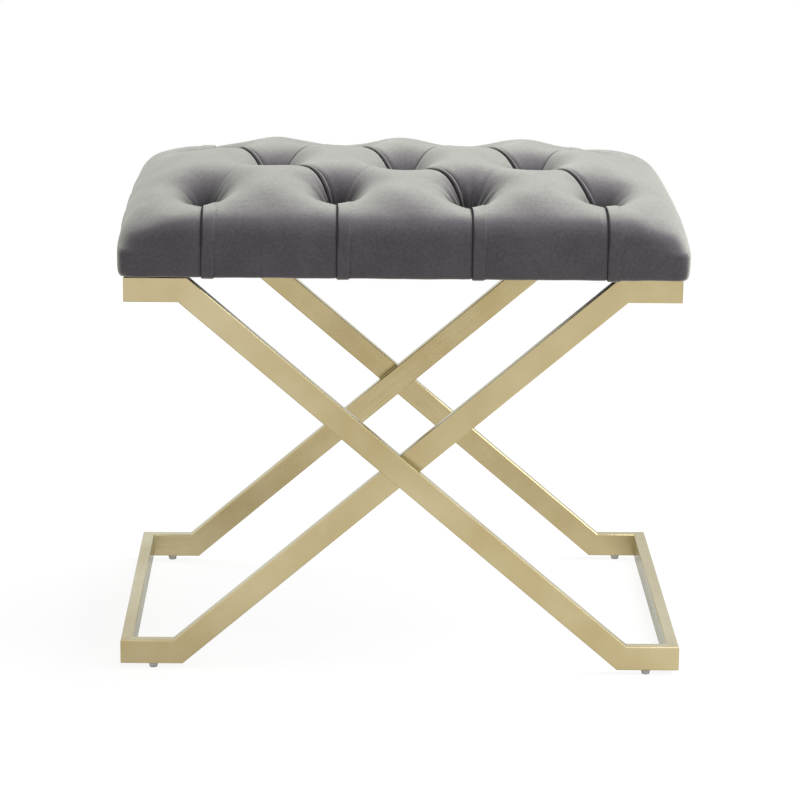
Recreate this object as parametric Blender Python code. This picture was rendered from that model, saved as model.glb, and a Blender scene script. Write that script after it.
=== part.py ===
"""Velvet bench: a deep-tufted seat on two nested steel frames that cross as an X.

Metres, +Z up. The origin is on the floor under the middle of the bench, X runs
along the seat and the front faces -Y.
"""
import math

import bmesh
import bpy
from mathutils import Vector

# Clearance kept between pieces that touch
CLEARANCE = 0.0003

# Steel tube
TUBE_HEIGHT = 0.026
TUBE_WIDTH = 0.013
TUBE_WALL = 0.0012
TUBE_CORNER = 0.0015
INNER_CORNER_LEAST = 0.0002
CORNER_STEPS = 3

# Frames
FEET_SPAN = 0.590
ARMS_SPAN = 0.576
FRAME_DEPTH = 0.434
FRAME_TOP = 0.425
FOOT_LENGTH = 0.056
ARM_LENGTH = 0.056

# Corner plates that take the seat bolts
PLATE_THICKNESS = 0.003
PLATE_LEG = 0.040
PLATE_TIP = 0.012
BOLT_INSET = 0.017

# Push-in glides under the feet
GLIDE_HEIGHT = 0.005
GLIDE_TOP_RADIUS = 0.00525
GLIDE_FLOOR_RADIUS = 0.0040
GLIDE_STEM_RADIUS = 0.0030
GLIDE_BARB_RADIUS = 0.0039
GLIDE_BARB_HEIGHT = 0.0045
GLIDE_TIP_RADIUS = 0.0020
GLIDE_INSET = 0.0345

# Seat bolts, washers and T-nuts
BOLT_RADIUS = 0.0029
BOLT_LENGTH = 0.020
BOLT_TIP_CHAMFER = 0.0006
BOLT_HEAD_RADIUS = 0.00525
BOLT_HEAD_HEIGHT = 0.0033
BOLT_HEAD_FACE_RADIUS = 0.0034
HEX_SOCKET_RADIUS = 0.0023
HEX_SOCKET_DEPTH = 0.0019
BOLT_HOLE_RADIUS = 0.0035
WASHER_RADIUS = 0.0065
WASHER_THICKNESS = 0.0012
NUT_BORE_RADIUS = 0.0032
NUT_BARREL_RADIUS = 0.0041
NUT_BARREL_LENGTH = 0.0085
NUT_FLANGE_RADIUS = 0.0095
NUT_FLANGE_THICKNESS = 0.0013

# Seat outline past the frame, and its layers
SEAT_OVERHANG_ENDS = 0.0082
SEAT_OVERHANG_FACES = 0.005
BOARD_THICKNESS = 0.015
COVER_THICKNESS = 0.0015
DUST_COVER_THICKNESS = 0.0006
DUST_COVER_INSET = 0.014
FOLD_WIDTH = 0.022

# Section of the padded edge, measured up from the seat's lower edge
EDGE_TUCK = 0.003
BULGE_RISE = 0.024
SIDE_RISE = 0.050
SIDE_LEAN = 0.002
SHOULDER_RISE = 0.063
SHOULDER_INSET_ENDS = 0.020
SHOULDER_INSET_FACES = 0.011

# Crown, tufts and pleats of the padded top
CROWN_RISE = 0.026
CROWN_REACH_ENDS = 0.058
CROWN_REACH_FACES = 0.040
TUFTS_IN_OUTER_ROW = 4
TUFT_END_MARGIN = 0.0880
TUFT_FACE_MARGIN = 0.104
TUFT_DEPTH = 0.041
TUFT_RADIUS = 0.027
TUFT_SHARPNESS = 1.6
PLEAT_DEPTH = 0.006
PLEAT_WIDTH = 0.014
FACE_PLEAT_DEPTH = 0.003
CELLS_PER_TUFT = 3
CELLS_AT_EDGE = 3

# Twine that draws the tufts down
TWINE_RADIUS = 0.0007
TWINE_BEND = 0.003
TWINE_TAIL = 0.024
TWINE_BEND_STEPS = 3
FOAM_TIE_HOLE_RADIUS = 0.0025
BOARD_TIE_HOLE_RADIUS = 0.0040

# Facets of round pieces
ROUND_STEPS = 20
SMALL_HOLE_STEPS = 10
HEX_STEPS = 6
SMOOTH_ANGLE = math.radians(35)
CUTTER_MARGIN = 0.001

# Heights that follow from the layers between frame and seat
DUST_COVER_BOTTOM = FRAME_TOP + CLEARANCE
DUST_COVER_TOP = DUST_COVER_BOTTOM + DUST_COVER_THICKNESS
SEAT_BOTTOM = DUST_COVER_TOP + CLEARANCE
BOARD_BOTTOM = SEAT_BOTTOM + max(COVER_THICKNESS, 2 * TWINE_RADIUS) + CLEARANCE
BOARD_TOP = BOARD_BOTTOM + BOARD_THICKNESS
FOAM_BOTTOM = BOARD_TOP + CLEARANCE
FOAM_INSET = COVER_THICKNESS + CLEARANCE
BOARD_INSET = EDGE_TUCK + COVER_THICKNESS + CLEARANCE

# Seat size and tuft spacing, which follow the frame
SEAT_WIDTH = ARMS_SPAN + 2 * SEAT_OVERHANG_ENDS
SEAT_DEPTH = FRAME_DEPTH + 2 * SEAT_OVERHANG_FACES
TUFT_PITCH = (SEAT_WIDTH - 2 * TUFT_END_MARGIN) / (TUFTS_IN_OUTER_ROW - 1)
TUFT_ROW_OFFSET = SEAT_DEPTH / 2 - TUFT_FACE_MARGIN

# Half sizes of the padded top inside its rounded shoulder
CORE_X = SEAT_WIDTH / 2 - SHOULDER_INSET_ENDS
CORE_Y = SEAT_DEPTH / 2 - SHOULDER_INSET_FACES

# Slope of the diagonals, from the rise and run between the bends
LEG_RISE = FRAME_TOP - GLIDE_HEIGHT - TUBE_HEIGHT
LEG_RUN = (ARMS_SPAN + FEET_SPAN) / 2 - ARM_LENGTH - FOOT_LENGTH
LEG_SPARE = LEG_RISE - 2 * TUBE_HEIGHT
HALF_TAN = (math.sqrt(LEG_RUN**2 + LEG_RISE * LEG_SPARE) - LEG_RUN) / LEG_SPARE
LEG_ANGLE = 2 * math.atan(HALF_TAN)
BEND_SHIFT = TUBE_HEIGHT * HALF_TAN

# Each frame: its name, the side its arms point to, and half its depth
FRAMES = (
    ("outer", -1, FRAME_DEPTH / 2),
    ("inner", 1, FRAME_DEPTH / 2 - TUBE_WIDTH - CLEARANCE),
)
SIDES = (("front", -1), ("back", 1))
X_AXIS = Vector((1, 0, 0))
Y_AXIS = Vector((0, 1, 0))
Z_AXIS = Vector((0, 0, 1))


def clear_scene():
    """Remove every object that the file opens with."""
    for obj in list(bpy.data.objects):
        bpy.data.objects.remove(obj)


def principled(name, colour, roughness, metallic=0.0):
    """A material with one Principled shader."""
    material = bpy.data.materials.new(name)
    material.use_nodes = True
    shader = material.node_tree.nodes["Principled BSDF"]
    shader.inputs["Base Color"].default_value = (*colour, 1.0)
    shader.inputs["Roughness"].default_value = roughness
    shader.inputs["Metallic"].default_value = metallic
    return material


def place(obj, parent):
    """Link an object to the scene under its parent."""
    bpy.context.collection.objects.link(obj)
    obj.parent = parent
    return obj


def finish(name, bm, material, parent, smooth=False):
    """Turn a finished mesh into a named object with outward faces."""
    bmesh.ops.recalc_face_normals(bm, faces=bm.faces)
    mesh = bpy.data.meshes.new(name)
    bm.to_mesh(mesh)
    bm.free()
    mesh.materials.append(material)
    if smooth:
        mesh.shade_smooth()
        mesh.set_sharp_from_angle(angle=SMOOTH_ANGLE)
    return place(bpy.data.objects.new(name, mesh), parent)


def cutter(name, bm, parent):
    """A guide solid that is only used to cut holes."""
    bmesh.ops.recalc_face_normals(bm, faces=bm.faces)
    mesh = bpy.data.meshes.new(name)
    bm.to_mesh(mesh)
    bm.free()
    obj = place(bpy.data.objects.new(name, mesh), parent)
    obj.hide_render = True
    obj.display_type = "WIRE"
    return obj


def cut(obj, tool):
    """Cut a tool's solids out of an object."""
    modifier = obj.modifiers.new(tool.name, "BOOLEAN")
    modifier.operation = "DIFFERENCE"
    modifier.solver = "EXACT"
    modifier.object = tool


def bridge(bm, first, second):
    """Join two closed loops of equal length with quads."""
    for i in range(len(first)):
        j = (i + 1) % len(first)
        bm.faces.new((first[i], first[j], second[j], second[i]))


def revolve(bm, profile, at=(0, 0), steps=ROUND_STEPS, closed=False):
    """Turn a profile of (radius, height) points about the upright axis at (x, y)."""
    rings = []
    for radius, height in profile:
        count = steps if radius > 0 else 1
        ring = []
        for i in range(count):
            angle = 2 * math.pi * i / count
            x = at[0] + radius * math.cos(angle)
            y = at[1] + radius * math.sin(angle)
            ring.append(bm.verts.new((x, y, height)))
        rings.append(ring)
    if closed:
        rings.append(rings[0])
    for lower, upper in zip(rings, rings[1:]):
        if len(lower) == len(upper):
            bridge(bm, lower, upper)
            continue
        tip, ring = (lower[0], upper) if len(lower) == 1 else (upper[0], lower)
        for i in range(steps):
            bm.faces.new((tip, ring[i], ring[(i + 1) % steps]))


def cylinder(bm, radius, bottom, top, at, steps=ROUND_STEPS):
    """A closed upright cylinder."""
    revolve(bm, ((0, bottom), (radius, bottom), (radius, top), (0, top)), at, steps)


def prism(bm, outline, bottom, top):
    """A closed upright prism on an outline of (x, y) points."""
    lower = [bm.verts.new((x, y, bottom)) for x, y in outline]
    upper = [bm.verts.new((x, y, top)) for x, y in outline]
    bridge(bm, lower, upper)
    bm.faces.new(lower)
    bm.faces.new(upper)


def tube_section(shrink):
    """The tube's rounded outline as (height, width) offsets, moved in by shrink."""
    radius = max(TUBE_CORNER - shrink, INNER_CORNER_LEAST)
    reach_u = TUBE_HEIGHT / 2 - shrink - radius
    reach_v = TUBE_WIDTH / 2 - shrink - radius
    points = []
    for corner, (sign_u, sign_v) in enumerate(((1, 1), (-1, 1), (-1, -1), (1, -1))):
        for step in range(CORNER_STEPS + 1):
            angle = math.pi / 2 * (corner + step / CORNER_STEPS)
            u = sign_u * reach_u + radius * math.cos(angle)
            v = sign_v * reach_v + radius * math.sin(angle)
            points.append((u, v))
    return points


def tube(name, centre, run, wide, narrow, ends, material, parent):
    """A hollow tube along run, cut at both ends by (point, normal) planes."""
    bm = bmesh.new()
    loops = []
    for shrink in (0, TUBE_WALL):
        for point, normal in ends:
            loop = []
            for u, v in tube_section(shrink):
                at = centre + wide * u + narrow * v
                reach = (point - at).dot(normal) / run.dot(normal)
                loop.append(bm.verts.new(at + run * reach))
            loops.append(loop)
    outer_start, outer_end, inner_start, inner_end = loops
    bridge(bm, outer_start, outer_end)
    bridge(bm, outer_end, inner_end)
    bridge(bm, inner_end, inner_start)
    bridge(bm, inner_start, outer_start)
    return finish(name, bm, material, parent, smooth=True)


def corner_plane(end_x, half_depth, side, shift):
    """The upright 45 degree mitre at a frame's outer corner, moved along its normal."""
    normal = Vector((math.copysign(1, end_x), -side, 0)).normalized()
    return Vector((end_x, side * half_depth, 0)) + normal * shift, normal


def bend_plane(centre, arm_side, shift):
    """The mitre at a bend, which halves the angle between its two tubes."""
    normal = Vector((arm_side * math.cos(LEG_ANGLE / 2), 0, math.sin(LEG_ANGLE / 2)))
    return centre + normal * shift, normal


def leg(frame, arm_side, half_depth, side_name, side, material, parent):
    """Foot, diagonal and arm of one leg. Returns the foot, which carries a glide."""
    y = side * (half_depth - TUBE_WIDTH / 2)
    foot_x = -arm_side * FEET_SPAN / 2
    arm_x = arm_side * ARMS_SPAN / 2
    foot_z = GLIDE_HEIGHT + TUBE_HEIGHT / 2
    arm_z = FRAME_TOP - TUBE_HEIGHT / 2
    low_bend = Vector((foot_x + arm_side * (FOOT_LENGTH + BEND_SHIFT / 2), y, foot_z))
    high_bend = Vector((arm_x - arm_side * (ARM_LENGTH + BEND_SHIFT / 2), y, arm_z))
    slope = Vector((arm_side * math.cos(LEG_ANGLE), 0, math.sin(LEG_ANGLE)))
    slope_up = Vector((-arm_side * math.sin(LEG_ANGLE), 0, math.cos(LEG_ANGLE)))
    half = CLEARANCE / 2
    stem = f"{frame}_{side_name}"
    foot_ends = (corner_plane(foot_x, half_depth, side, -half), bend_plane(low_bend, arm_side, -half))
    slope_ends = (bend_plane(low_bend, arm_side, half), bend_plane(high_bend, arm_side, -half))
    arm_ends = (bend_plane(high_bend, arm_side, half), corner_plane(arm_x, half_depth, side, -half))
    tube(f"{stem}_diagonal", low_bend, slope, slope_up, Y_AXIS, slope_ends, material, parent)
    tube(f"{stem}_arm", high_bend, X_AXIS, Z_AXIS, Y_AXIS, arm_ends, material, parent)
    return tube(f"{stem}_foot", low_bend, X_AXIS, Z_AXIS, Y_AXIS, foot_ends, material, parent)


def rail(name, end_x, z, half_depth, material, parent):
    """A cross rail from front to back at the outer ends of two feet or two arms."""
    centre = Vector((end_x - math.copysign(TUBE_WIDTH / 2, end_x), 0, z))
    ends = [corner_plane(end_x, half_depth, side, CLEARANCE / 2) for _, side in SIDES]
    return tube(name, centre, Y_AXIS, Z_AXIS, X_AXIS, ends, material, parent)


def bolt_place(arm_side, half_depth, side):
    """Where a seat bolt stands, seen from above."""
    x = arm_side * (ARMS_SPAN / 2 - TUBE_WIDTH - BOLT_INSET)
    y = side * (half_depth - TUBE_WIDTH - BOLT_INSET)
    return x, y


def corner_plate(name, arm_side, half_depth, side, material, parent):
    """A gusset welded flush inside a top corner, between an arm and the top rail."""
    corner_x = ARMS_SPAN / 2 - TUBE_WIDTH - CLEARANCE
    corner_y = half_depth - TUBE_WIDTH - CLEARANCE
    steps_in = ((0, 0), (PLATE_LEG, 0), (PLATE_LEG, PLATE_TIP), (PLATE_TIP, PLATE_LEG), (0, PLATE_LEG))
    outline = [(arm_side * (corner_x - dx), side * (corner_y - dy)) for dx, dy in steps_in]
    bm = bmesh.new()
    prism(bm, outline, FRAME_TOP - PLATE_THICKNESS, FRAME_TOP)
    return finish(name, bm, material, parent)


def build_frames(material, parent):
    """Both frames. Returns the feet, the corner plates and each bolt's place by name."""
    feet = []
    plates = []
    bolts = {}
    for frame, arm_side, half_depth in FRAMES:
        foot_z = GLIDE_HEIGHT + TUBE_HEIGHT / 2
        arm_z = FRAME_TOP - TUBE_HEIGHT / 2
        rail(f"{frame}_bottom_rail", -arm_side * FEET_SPAN / 2, foot_z, half_depth, material, parent)
        rail(f"{frame}_top_rail", arm_side * ARMS_SPAN / 2, arm_z, half_depth, material, parent)
        for side_name, side in SIDES:
            feet.append(leg(frame, arm_side, half_depth, side_name, side, material, parent))
            plate_name = f"{frame}_{side_name}_corner_plate"
            plates.append(corner_plate(plate_name, arm_side, half_depth, side, material, parent))
            bolts[f"{frame}_{side_name}"] = bolt_place(arm_side, half_depth, side)
    return feet, plates, bolts


def build_glides(feet, material, parent):
    """A push-in glide under each foot, with its hole in the tube's lower wall."""
    wall_top = GLIDE_HEIGHT + TUBE_WALL
    barb_bottom = wall_top + CLEARANCE
    barb_top = barb_bottom + GLIDE_BARB_HEIGHT
    profile = (
        (0, 0),
        (GLIDE_FLOOR_RADIUS, 0),
        (GLIDE_TOP_RADIUS, GLIDE_HEIGHT - CLEARANCE),
        (GLIDE_STEM_RADIUS, GLIDE_HEIGHT - CLEARANCE),
        (GLIDE_STEM_RADIUS, barb_bottom),
        (GLIDE_BARB_RADIUS, barb_bottom),
        (GLIDE_TIP_RADIUS, barb_top),
        (0, barb_top),
    )
    places = []
    for frame, arm_side, half_depth in FRAMES:
        for side_name, side in SIDES:
            x = -arm_side * (FEET_SPAN / 2 - GLIDE_INSET)
            y = side * (half_depth - TUBE_WIDTH / 2)
            places.append((x, y))
            bm = bmesh.new()
            revolve(bm, profile)
            glide = finish(f"{frame}_{side_name}_glide", bm, material, parent, smooth=True)
            glide.location = (x, y, 0)
    bm = bmesh.new()
    for at in places:
        hole_radius = GLIDE_STEM_RADIUS + CLEARANCE
        cylinder(bm, hole_radius, GLIDE_HEIGHT - CUTTER_MARGIN, wall_top + CUTTER_MARGIN, at)
    holes = cutter("glide_holes", bm, parent)
    for foot in feet:
        cut(foot, holes)


def outer_tufts():
    """X places of the tufts in the front and back rows."""
    first = -TUFT_PITCH * (TUFTS_IN_OUTER_ROW - 1) / 2
    return [first + TUFT_PITCH * i for i in range(TUFTS_IN_OUTER_ROW)]


def middle_tufts():
    """X places of the tufts in the middle row, between those of the outer rows."""
    return [x + TUFT_PITCH / 2 for x in outer_tufts()[:-1]]


def tuft_places():
    """All tufts as (x, y)."""
    places = [(x, 0.0) for x in middle_tufts()]
    for _, side in SIDES:
        places += [(x, side * TUFT_ROW_OFFSET) for x in outer_tufts()]
    return places


def pleat_lines():
    """Pleats of the front half, as pairs of points with y counted from the middle."""
    lines = []
    for x in outer_tufts():
        lines.append(((x, TUFT_ROW_OFFSET), (x, CORE_Y)))
        for mid in middle_tufts():
            if abs(mid - x) < TUFT_PITCH:
                lines.append(((x, TUFT_ROW_OFFSET), (mid, 0.0)))
    return lines


def distance_to_line(x, y, line):
    """Distance from a point to a stretch of line."""
    (ax, ay), (bx, by) = line
    dx, dy = bx - ax, by - ay
    share = ((x - ax) * dx + (y - ay) * dy) / (dx * dx + dy * dy)
    share = min(max(share, 0.0), 1.0)
    return math.hypot(x - ax - share * dx, y - ay - share * dy)


def top_height(x, y, pleats, tufts):
    """Height of the cover's upper face: crown, less the pleats and the tufts."""
    rise_x = 1 - math.exp(-(CORE_X - abs(x)) / CROWN_REACH_ENDS)
    rise_y = 1 - math.exp(-(CORE_Y - abs(y)) / CROWN_REACH_FACES)
    to_pleat = min(distance_to_line(x, abs(y), line) for line in pleats)
    to_tuft = min(math.hypot(x - tx, y - ty) for tx, ty in tufts)
    height = SEAT_BOTTOM + SHOULDER_RISE + CROWN_RISE * rise_x * rise_y
    height -= PLEAT_DEPTH * math.exp(-to_pleat / PLEAT_WIDTH)
    height -= TUFT_DEPTH * math.exp(-((to_tuft / TUFT_RADIUS) ** TUFT_SHARPNESS))
    return height


def spread(start, end, count):
    """Evenly spaced values from start up to, but not including, end."""
    return [start + (end - start) * i / count for i in range(count)]


def grid_lines(limit, core, steps):
    """Grid lines over one direction of the padded top, with tufts on the lines."""
    lines = spread(-core, -limit, CELLS_AT_EDGE)
    lines += spread(-limit, limit, steps * CELLS_PER_TUFT)
    lines += spread(limit, core, CELLS_AT_EDGE)
    return lines + [core]


def pad_grid():
    """The padded top's grid lines along X and Y."""
    steps = 2 * (TUFTS_IN_OUTER_ROW - 1)
    return grid_lines(outer_tufts()[-1], CORE_X, steps), grid_lines(TUFT_ROW_OFFSET, CORE_Y, 2)


def rim_indices(columns, rows):
    """Grid indices around the rim of the padded top, once round."""
    rim = [(i, 0) for i in range(columns)]
    rim += [(columns, j) for j in range(rows)]
    rim += [(i, rows) for i in range(columns, 0, -1)]
    return rim + [(0, j) for j in range(rows, 0, -1)]


def edge_section(z):
    """Inset of the padded edge at a height, and its share of the face pleats."""
    knots = (
        (SEAT_BOTTOM, EDGE_TUCK, 0.0),
        (SEAT_BOTTOM + BULGE_RISE, 0.0, 0.5),
        (SEAT_BOTTOM + SIDE_RISE, SIDE_LEAN, 1.0),
    )
    for (low, low_inset, low_share), (high, high_inset, high_share) in zip(knots, knots[1:]):
        if z <= high:
            part = (z - low) / (high - low)
            inset = low_inset + (high_inset - low_inset) * part
            return inset, low_share + (high_share - low_share) * part
    return knots[-1][1:]


def rim_outline(inset, pleat=0.0):
    """The seat's rounded outline, moved in by inset, as (x, y) points around the rim."""
    xs, ys = pad_grid()
    columns, rows = len(xs) - 1, len(ys) - 1
    points = []
    for i, j in rim_indices(columns, rows):
        end = (i == columns) - (i == 0)
        face = (j == rows) - (j == 0)
        at_pleat = any(abs(xs[i] - x) < CLEARANCE for x in outer_tufts())
        reach_x = SHOULDER_INSET_ENDS - inset
        reach_y = SHOULDER_INSET_FACES - inset - (pleat if at_pleat else 0.0)
        if end and face:
            reach_x = min(reach_x, reach_x * math.sqrt(0.5))
            reach_y = min(reach_y, reach_y * math.sqrt(0.5))
        points.append((xs[i] + end * reach_x, ys[j] + face * reach_y))
    return points


def pleat_leans_right(i, j):
    """Whether the pleats of a grid cell's block run up to the right, seen from above."""
    block = (i - CELLS_AT_EDGE) // CELLS_PER_TUFT
    in_front = j < CELLS_AT_EDGE + CELLS_PER_TUFT
    return (block % 2 == 0) == in_front


def pad_skin(bm, inset, bottom):
    """The padded top and its edge down to bottom. Returns the lowest ring of points."""
    xs, ys = pad_grid()
    columns, rows = len(xs) - 1, len(ys) - 1
    pleats, tufts = pleat_lines(), tuft_places()
    grid = {}
    for i, x in enumerate(xs):
        for j, y in enumerate(ys):
            grid[i, j] = bm.verts.new((x, y, top_height(x, y, pleats, tufts) - inset))
    for i in range(columns):
        for j in range(rows):
            a, b, c, d = grid[i, j], grid[i + 1, j], grid[i + 1, j + 1], grid[i, j + 1]
            if pleat_leans_right(i, j):
                bm.faces.new((a, b, c))
                bm.faces.new((a, c, d))
            else:
                bm.faces.new((a, b, d))
                bm.faces.new((b, c, d))
    ring = [grid[index] for index in rim_indices(columns, rows)]
    heights = [SEAT_BOTTOM + SIDE_RISE, SEAT_BOTTOM + BULGE_RISE, bottom]
    for z in [z for z in heights if z >= bottom]:
        lean, share = edge_section(z)
        outline = rim_outline(lean + inset, FACE_PLEAT_DEPTH * share)
        ring = edge_band(bm, ring, [(x, y, z) for x, y in outline])
    return ring


def edge_band(bm, ring, points):
    """Join a ring to a new ring of points with triangles, and return the new ring."""
    lower = [bm.verts.new(point) for point in points]
    for i in range(len(ring)):
        j = (i + 1) % len(ring)
        bm.faces.new((ring[i], ring[j], lower[j]))
        bm.faces.new((ring[i], lower[j], lower[i]))
    return lower


def build_cover(material, parent):
    """Velvet over the foam, round the board's edge and folded under it."""
    bm = bmesh.new()
    fold = rim_outline(FOLD_WIDTH)
    fold_ends = []
    for inset in (0.0, COVER_THICKNESS):
        height = SEAT_BOTTOM + inset
        ring = pad_skin(bm, inset, height)
        fold_ends.append(edge_band(bm, ring, [(x, y, height) for x, y in fold]))
    bridge(bm, *fold_ends)
    return finish("velvet_cover", bm, material, parent, smooth=True)


def build_foam(material, parent):
    """Foam pad under the cover, pierced below each tuft."""
    bm = bmesh.new()
    bm.faces.new(pad_skin(bm, FOAM_INSET, FOAM_BOTTOM))
    foam = finish("foam_pad", bm, material, parent)
    bm = bmesh.new()
    top = SEAT_BOTTOM + SHOULDER_RISE + CROWN_RISE
    for at in tuft_places():
        cylinder(bm, FOAM_TIE_HOLE_RADIUS, FOAM_BOTTOM - CUTTER_MARGIN, top, at, SMALL_HOLE_STEPS)
    cut(foam, cutter("foam_tie_holes", bm, parent))
    return foam


def build_board(bolts, material, parent):
    """Plywood seat board with holes for the twine and stepped holes for the T-nuts."""
    bm = bmesh.new()
    prism(bm, rim_outline(BOARD_INSET), BOARD_BOTTOM, BOARD_TOP)
    board = finish("seat_board", bm, material, parent)
    below, above = BOARD_BOTTOM - CUTTER_MARGIN, BOARD_TOP + CUTTER_MARGIN
    seat = BOARD_TOP - NUT_FLANGE_THICKNESS - CLEARANCE
    bm = bmesh.new()
    for at in tuft_places():
        cylinder(bm, BOARD_TIE_HOLE_RADIUS, below, above, at, SMALL_HOLE_STEPS)
    barrel, flange = NUT_BARREL_RADIUS + CLEARANCE, NUT_FLANGE_RADIUS + CLEARANCE
    for at in bolts.values():
        step = ((0, below), (barrel, below), (barrel, seat), (flange, seat), (flange, above), (0, above))
        revolve(bm, step, at)
    cut(board, cutter("board_holes", bm, parent))
    return board


def build_dust_cover(bolts, plates, material, parent):
    """Dust cover under the board. The bolt holes also go through the corner plates."""
    bm = bmesh.new()
    prism(bm, rim_outline(DUST_COVER_INSET), DUST_COVER_BOTTOM, DUST_COVER_TOP)
    dust_cover = finish("dust_cover", bm, material, parent)
    bottom = FRAME_TOP - PLATE_THICKNESS - CUTTER_MARGIN
    bm = bmesh.new()
    for at in bolts.values():
        cylinder(bm, BOLT_HOLE_RADIUS, bottom, DUST_COVER_TOP + CUTTER_MARGIN, at)
    holes = cutter("bolt_holes", bm, parent)
    for obj in (dust_cover, *plates):
        cut(obj, holes)


def bolt_profile(head_top):
    """Half section of a button-head bolt, from the head's face up to the tip."""
    head_bottom = head_top - BOLT_HEAD_HEIGHT
    tip = head_top + BOLT_LENGTH
    return (
        (0, head_bottom),
        (BOLT_HEAD_FACE_RADIUS, head_bottom),
        (BOLT_HEAD_RADIUS, head_top - BOLT_HEAD_HEIGHT / 3),
        (BOLT_HEAD_RADIUS, head_top),
        (BOLT_RADIUS, head_top),
        (BOLT_RADIUS, tip - BOLT_TIP_CHAMFER),
        (BOLT_RADIUS - BOLT_TIP_CHAMFER, tip),
        (0, tip),
    )


def washer_profile(top):
    """Closed section of a flat washer."""
    bottom = top - WASHER_THICKNESS
    hole = BOLT_RADIUS + CLEARANCE
    return ((hole, bottom), (WASHER_RADIUS, bottom), (WASHER_RADIUS, top), (hole, top))


def t_nut_profile(top):
    """Closed section of a T-nut, with its barrel below its flange."""
    flange_bottom = top - NUT_FLANGE_THICKNESS
    bottom = flange_bottom - NUT_BARREL_LENGTH
    return (
        (NUT_BORE_RADIUS, bottom),
        (NUT_BARREL_RADIUS, bottom),
        (NUT_BARREL_RADIUS, flange_bottom),
        (NUT_FLANGE_RADIUS, flange_bottom),
        (NUT_FLANGE_RADIUS, top),
        (NUT_BORE_RADIUS, top),
    )


def build_fasteners(bolts, material, parent):
    """A bolt, a washer and a T-nut at each corner plate."""
    washer_top = FRAME_TOP - PLATE_THICKNESS - CLEARANCE
    head_top = washer_top - WASHER_THICKNESS - CLEARANCE
    head_bottom = head_top - BOLT_HEAD_HEIGHT
    bm = bmesh.new()
    for at in bolts.values():
        socket_top = head_bottom + HEX_SOCKET_DEPTH
        cylinder(bm, HEX_SOCKET_RADIUS, head_bottom - CUTTER_MARGIN, socket_top, at, HEX_STEPS)
    sockets = cutter("hex_sockets", bm, parent)
    kinds = (
        ("seat_bolt", bolt_profile(head_top), False),
        ("washer", washer_profile(washer_top), True),
        ("t_nut", t_nut_profile(BOARD_TOP), True),
    )
    for corner, (x, y) in bolts.items():
        for kind, profile, closed in kinds:
            bm = bmesh.new()
            revolve(bm, profile, closed=closed)
            piece = finish(f"{corner}_{kind}", bm, material, parent, smooth=True)
            piece.location = (x, y, 0)
            if kind == "seat_bolt":
                cut(piece, sockets)


def tie_points(top, inward):
    """A tie's route from under its tuft to the end of its tail, about its own axis."""
    tail_z = BOARD_BOTTOM - CLEARANCE - TWINE_RADIUS
    points = [(0, 0, top)]
    for step in range(TWINE_BEND_STEPS + 1):
        angle = math.pi / 2 * step / TWINE_BEND_STEPS
        across = TWINE_BEND * (1 - math.cos(angle))
        points.append((inward * across, 0, tail_z + TWINE_BEND * (1 - math.sin(angle))))
    return points + [(inward * TWINE_TAIL, 0, tail_z)]


def build_ties(material, parent):
    """Twine from each tuft, down through foam and board, with its tail flat under the board."""
    pleats, tufts = pleat_lines(), tuft_places()
    for number, (x, y) in enumerate(tufts, start=1):
        name = f"tuft_tie_{number:02d}"
        curve = bpy.data.curves.new(name, "CURVE")
        curve.dimensions = "3D"
        curve.bevel_depth = TWINE_RADIUS
        curve.bevel_resolution = 1
        curve.use_fill_caps = True
        curve.materials.append(material)
        top = top_height(x, y, pleats, tufts) - COVER_THICKNESS - CLEARANCE
        points = tie_points(top, -1 if x > 0 else 1)
        spline = curve.splines.new("POLY")
        spline.points.add(len(points) - 1)
        for knot, point in zip(spline.points, points):
            knot.co = (*point, 1.0)
        tie = place(bpy.data.objects.new(name, curve), parent)
        tie.location = (x, y, 0)


def build_bench():
    """The whole bench under one empty."""
    clear_scene()
    bench = bpy.data.objects.new("bench", None)
    bpy.context.collection.objects.link(bench)
    steel = principled("champagne_steel", (0.62, 0.52, 0.30), 0.32, 1.0)
    plastic = principled("glide_plastic", (0.55, 0.55, 0.54), 0.35)
    zinc = principled("zinc_plate", (0.55, 0.56, 0.58), 0.38, 1.0)
    plywood = principled("birch_plywood", (0.58, 0.43, 0.27), 0.65)
    foam = principled("foam", (0.72, 0.69, 0.58), 0.95)
    velvet = principled("grey_velvet", (0.22, 0.21, 0.22), 0.90)
    cambric = principled("black_cambric", (0.015, 0.015, 0.016), 0.95)
    twine = principled("waxed_twine", (0.60, 0.55, 0.44), 0.80)

    feet, plates, bolts = build_frames(steel, bench)
    build_glides(feet, plastic, bench)
    build_board(bolts, plywood, bench)
    build_foam(foam, bench)
    build_cover(velvet, bench)
    build_ties(twine, bench)
    build_dust_cover(bolts, plates, cambric, bench)
    build_fasteners(bolts, zinc, bench)
    nodes = [obj for obj in bpy.data.objects if obj.type != "EMPTY" and not obj.hide_render]
    print(f"bench of {len(nodes)} pieces, diagonals at {math.degrees(LEG_ANGLE):.1f} degrees")


build_bench()
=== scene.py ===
# %% [markdown]
# # A tufted velvet bench
# The bench is a padded seat in grey velvet, drawn down in a diamond pattern, on two steel
# frames that cross as an X. The CAD model already holds every tube, bolt and layer, so this
# lesson loads it as a fixed frame and spends its effort on what CAD can't give: cloth with
# folds, brushed metal, soft light.

# %% Load the frame
import itertools
import math

import bpy
import numpy as np
from mathutils import Matrix, Vector
from mathutils.geometry import delaunay_2d_cdt


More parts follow.
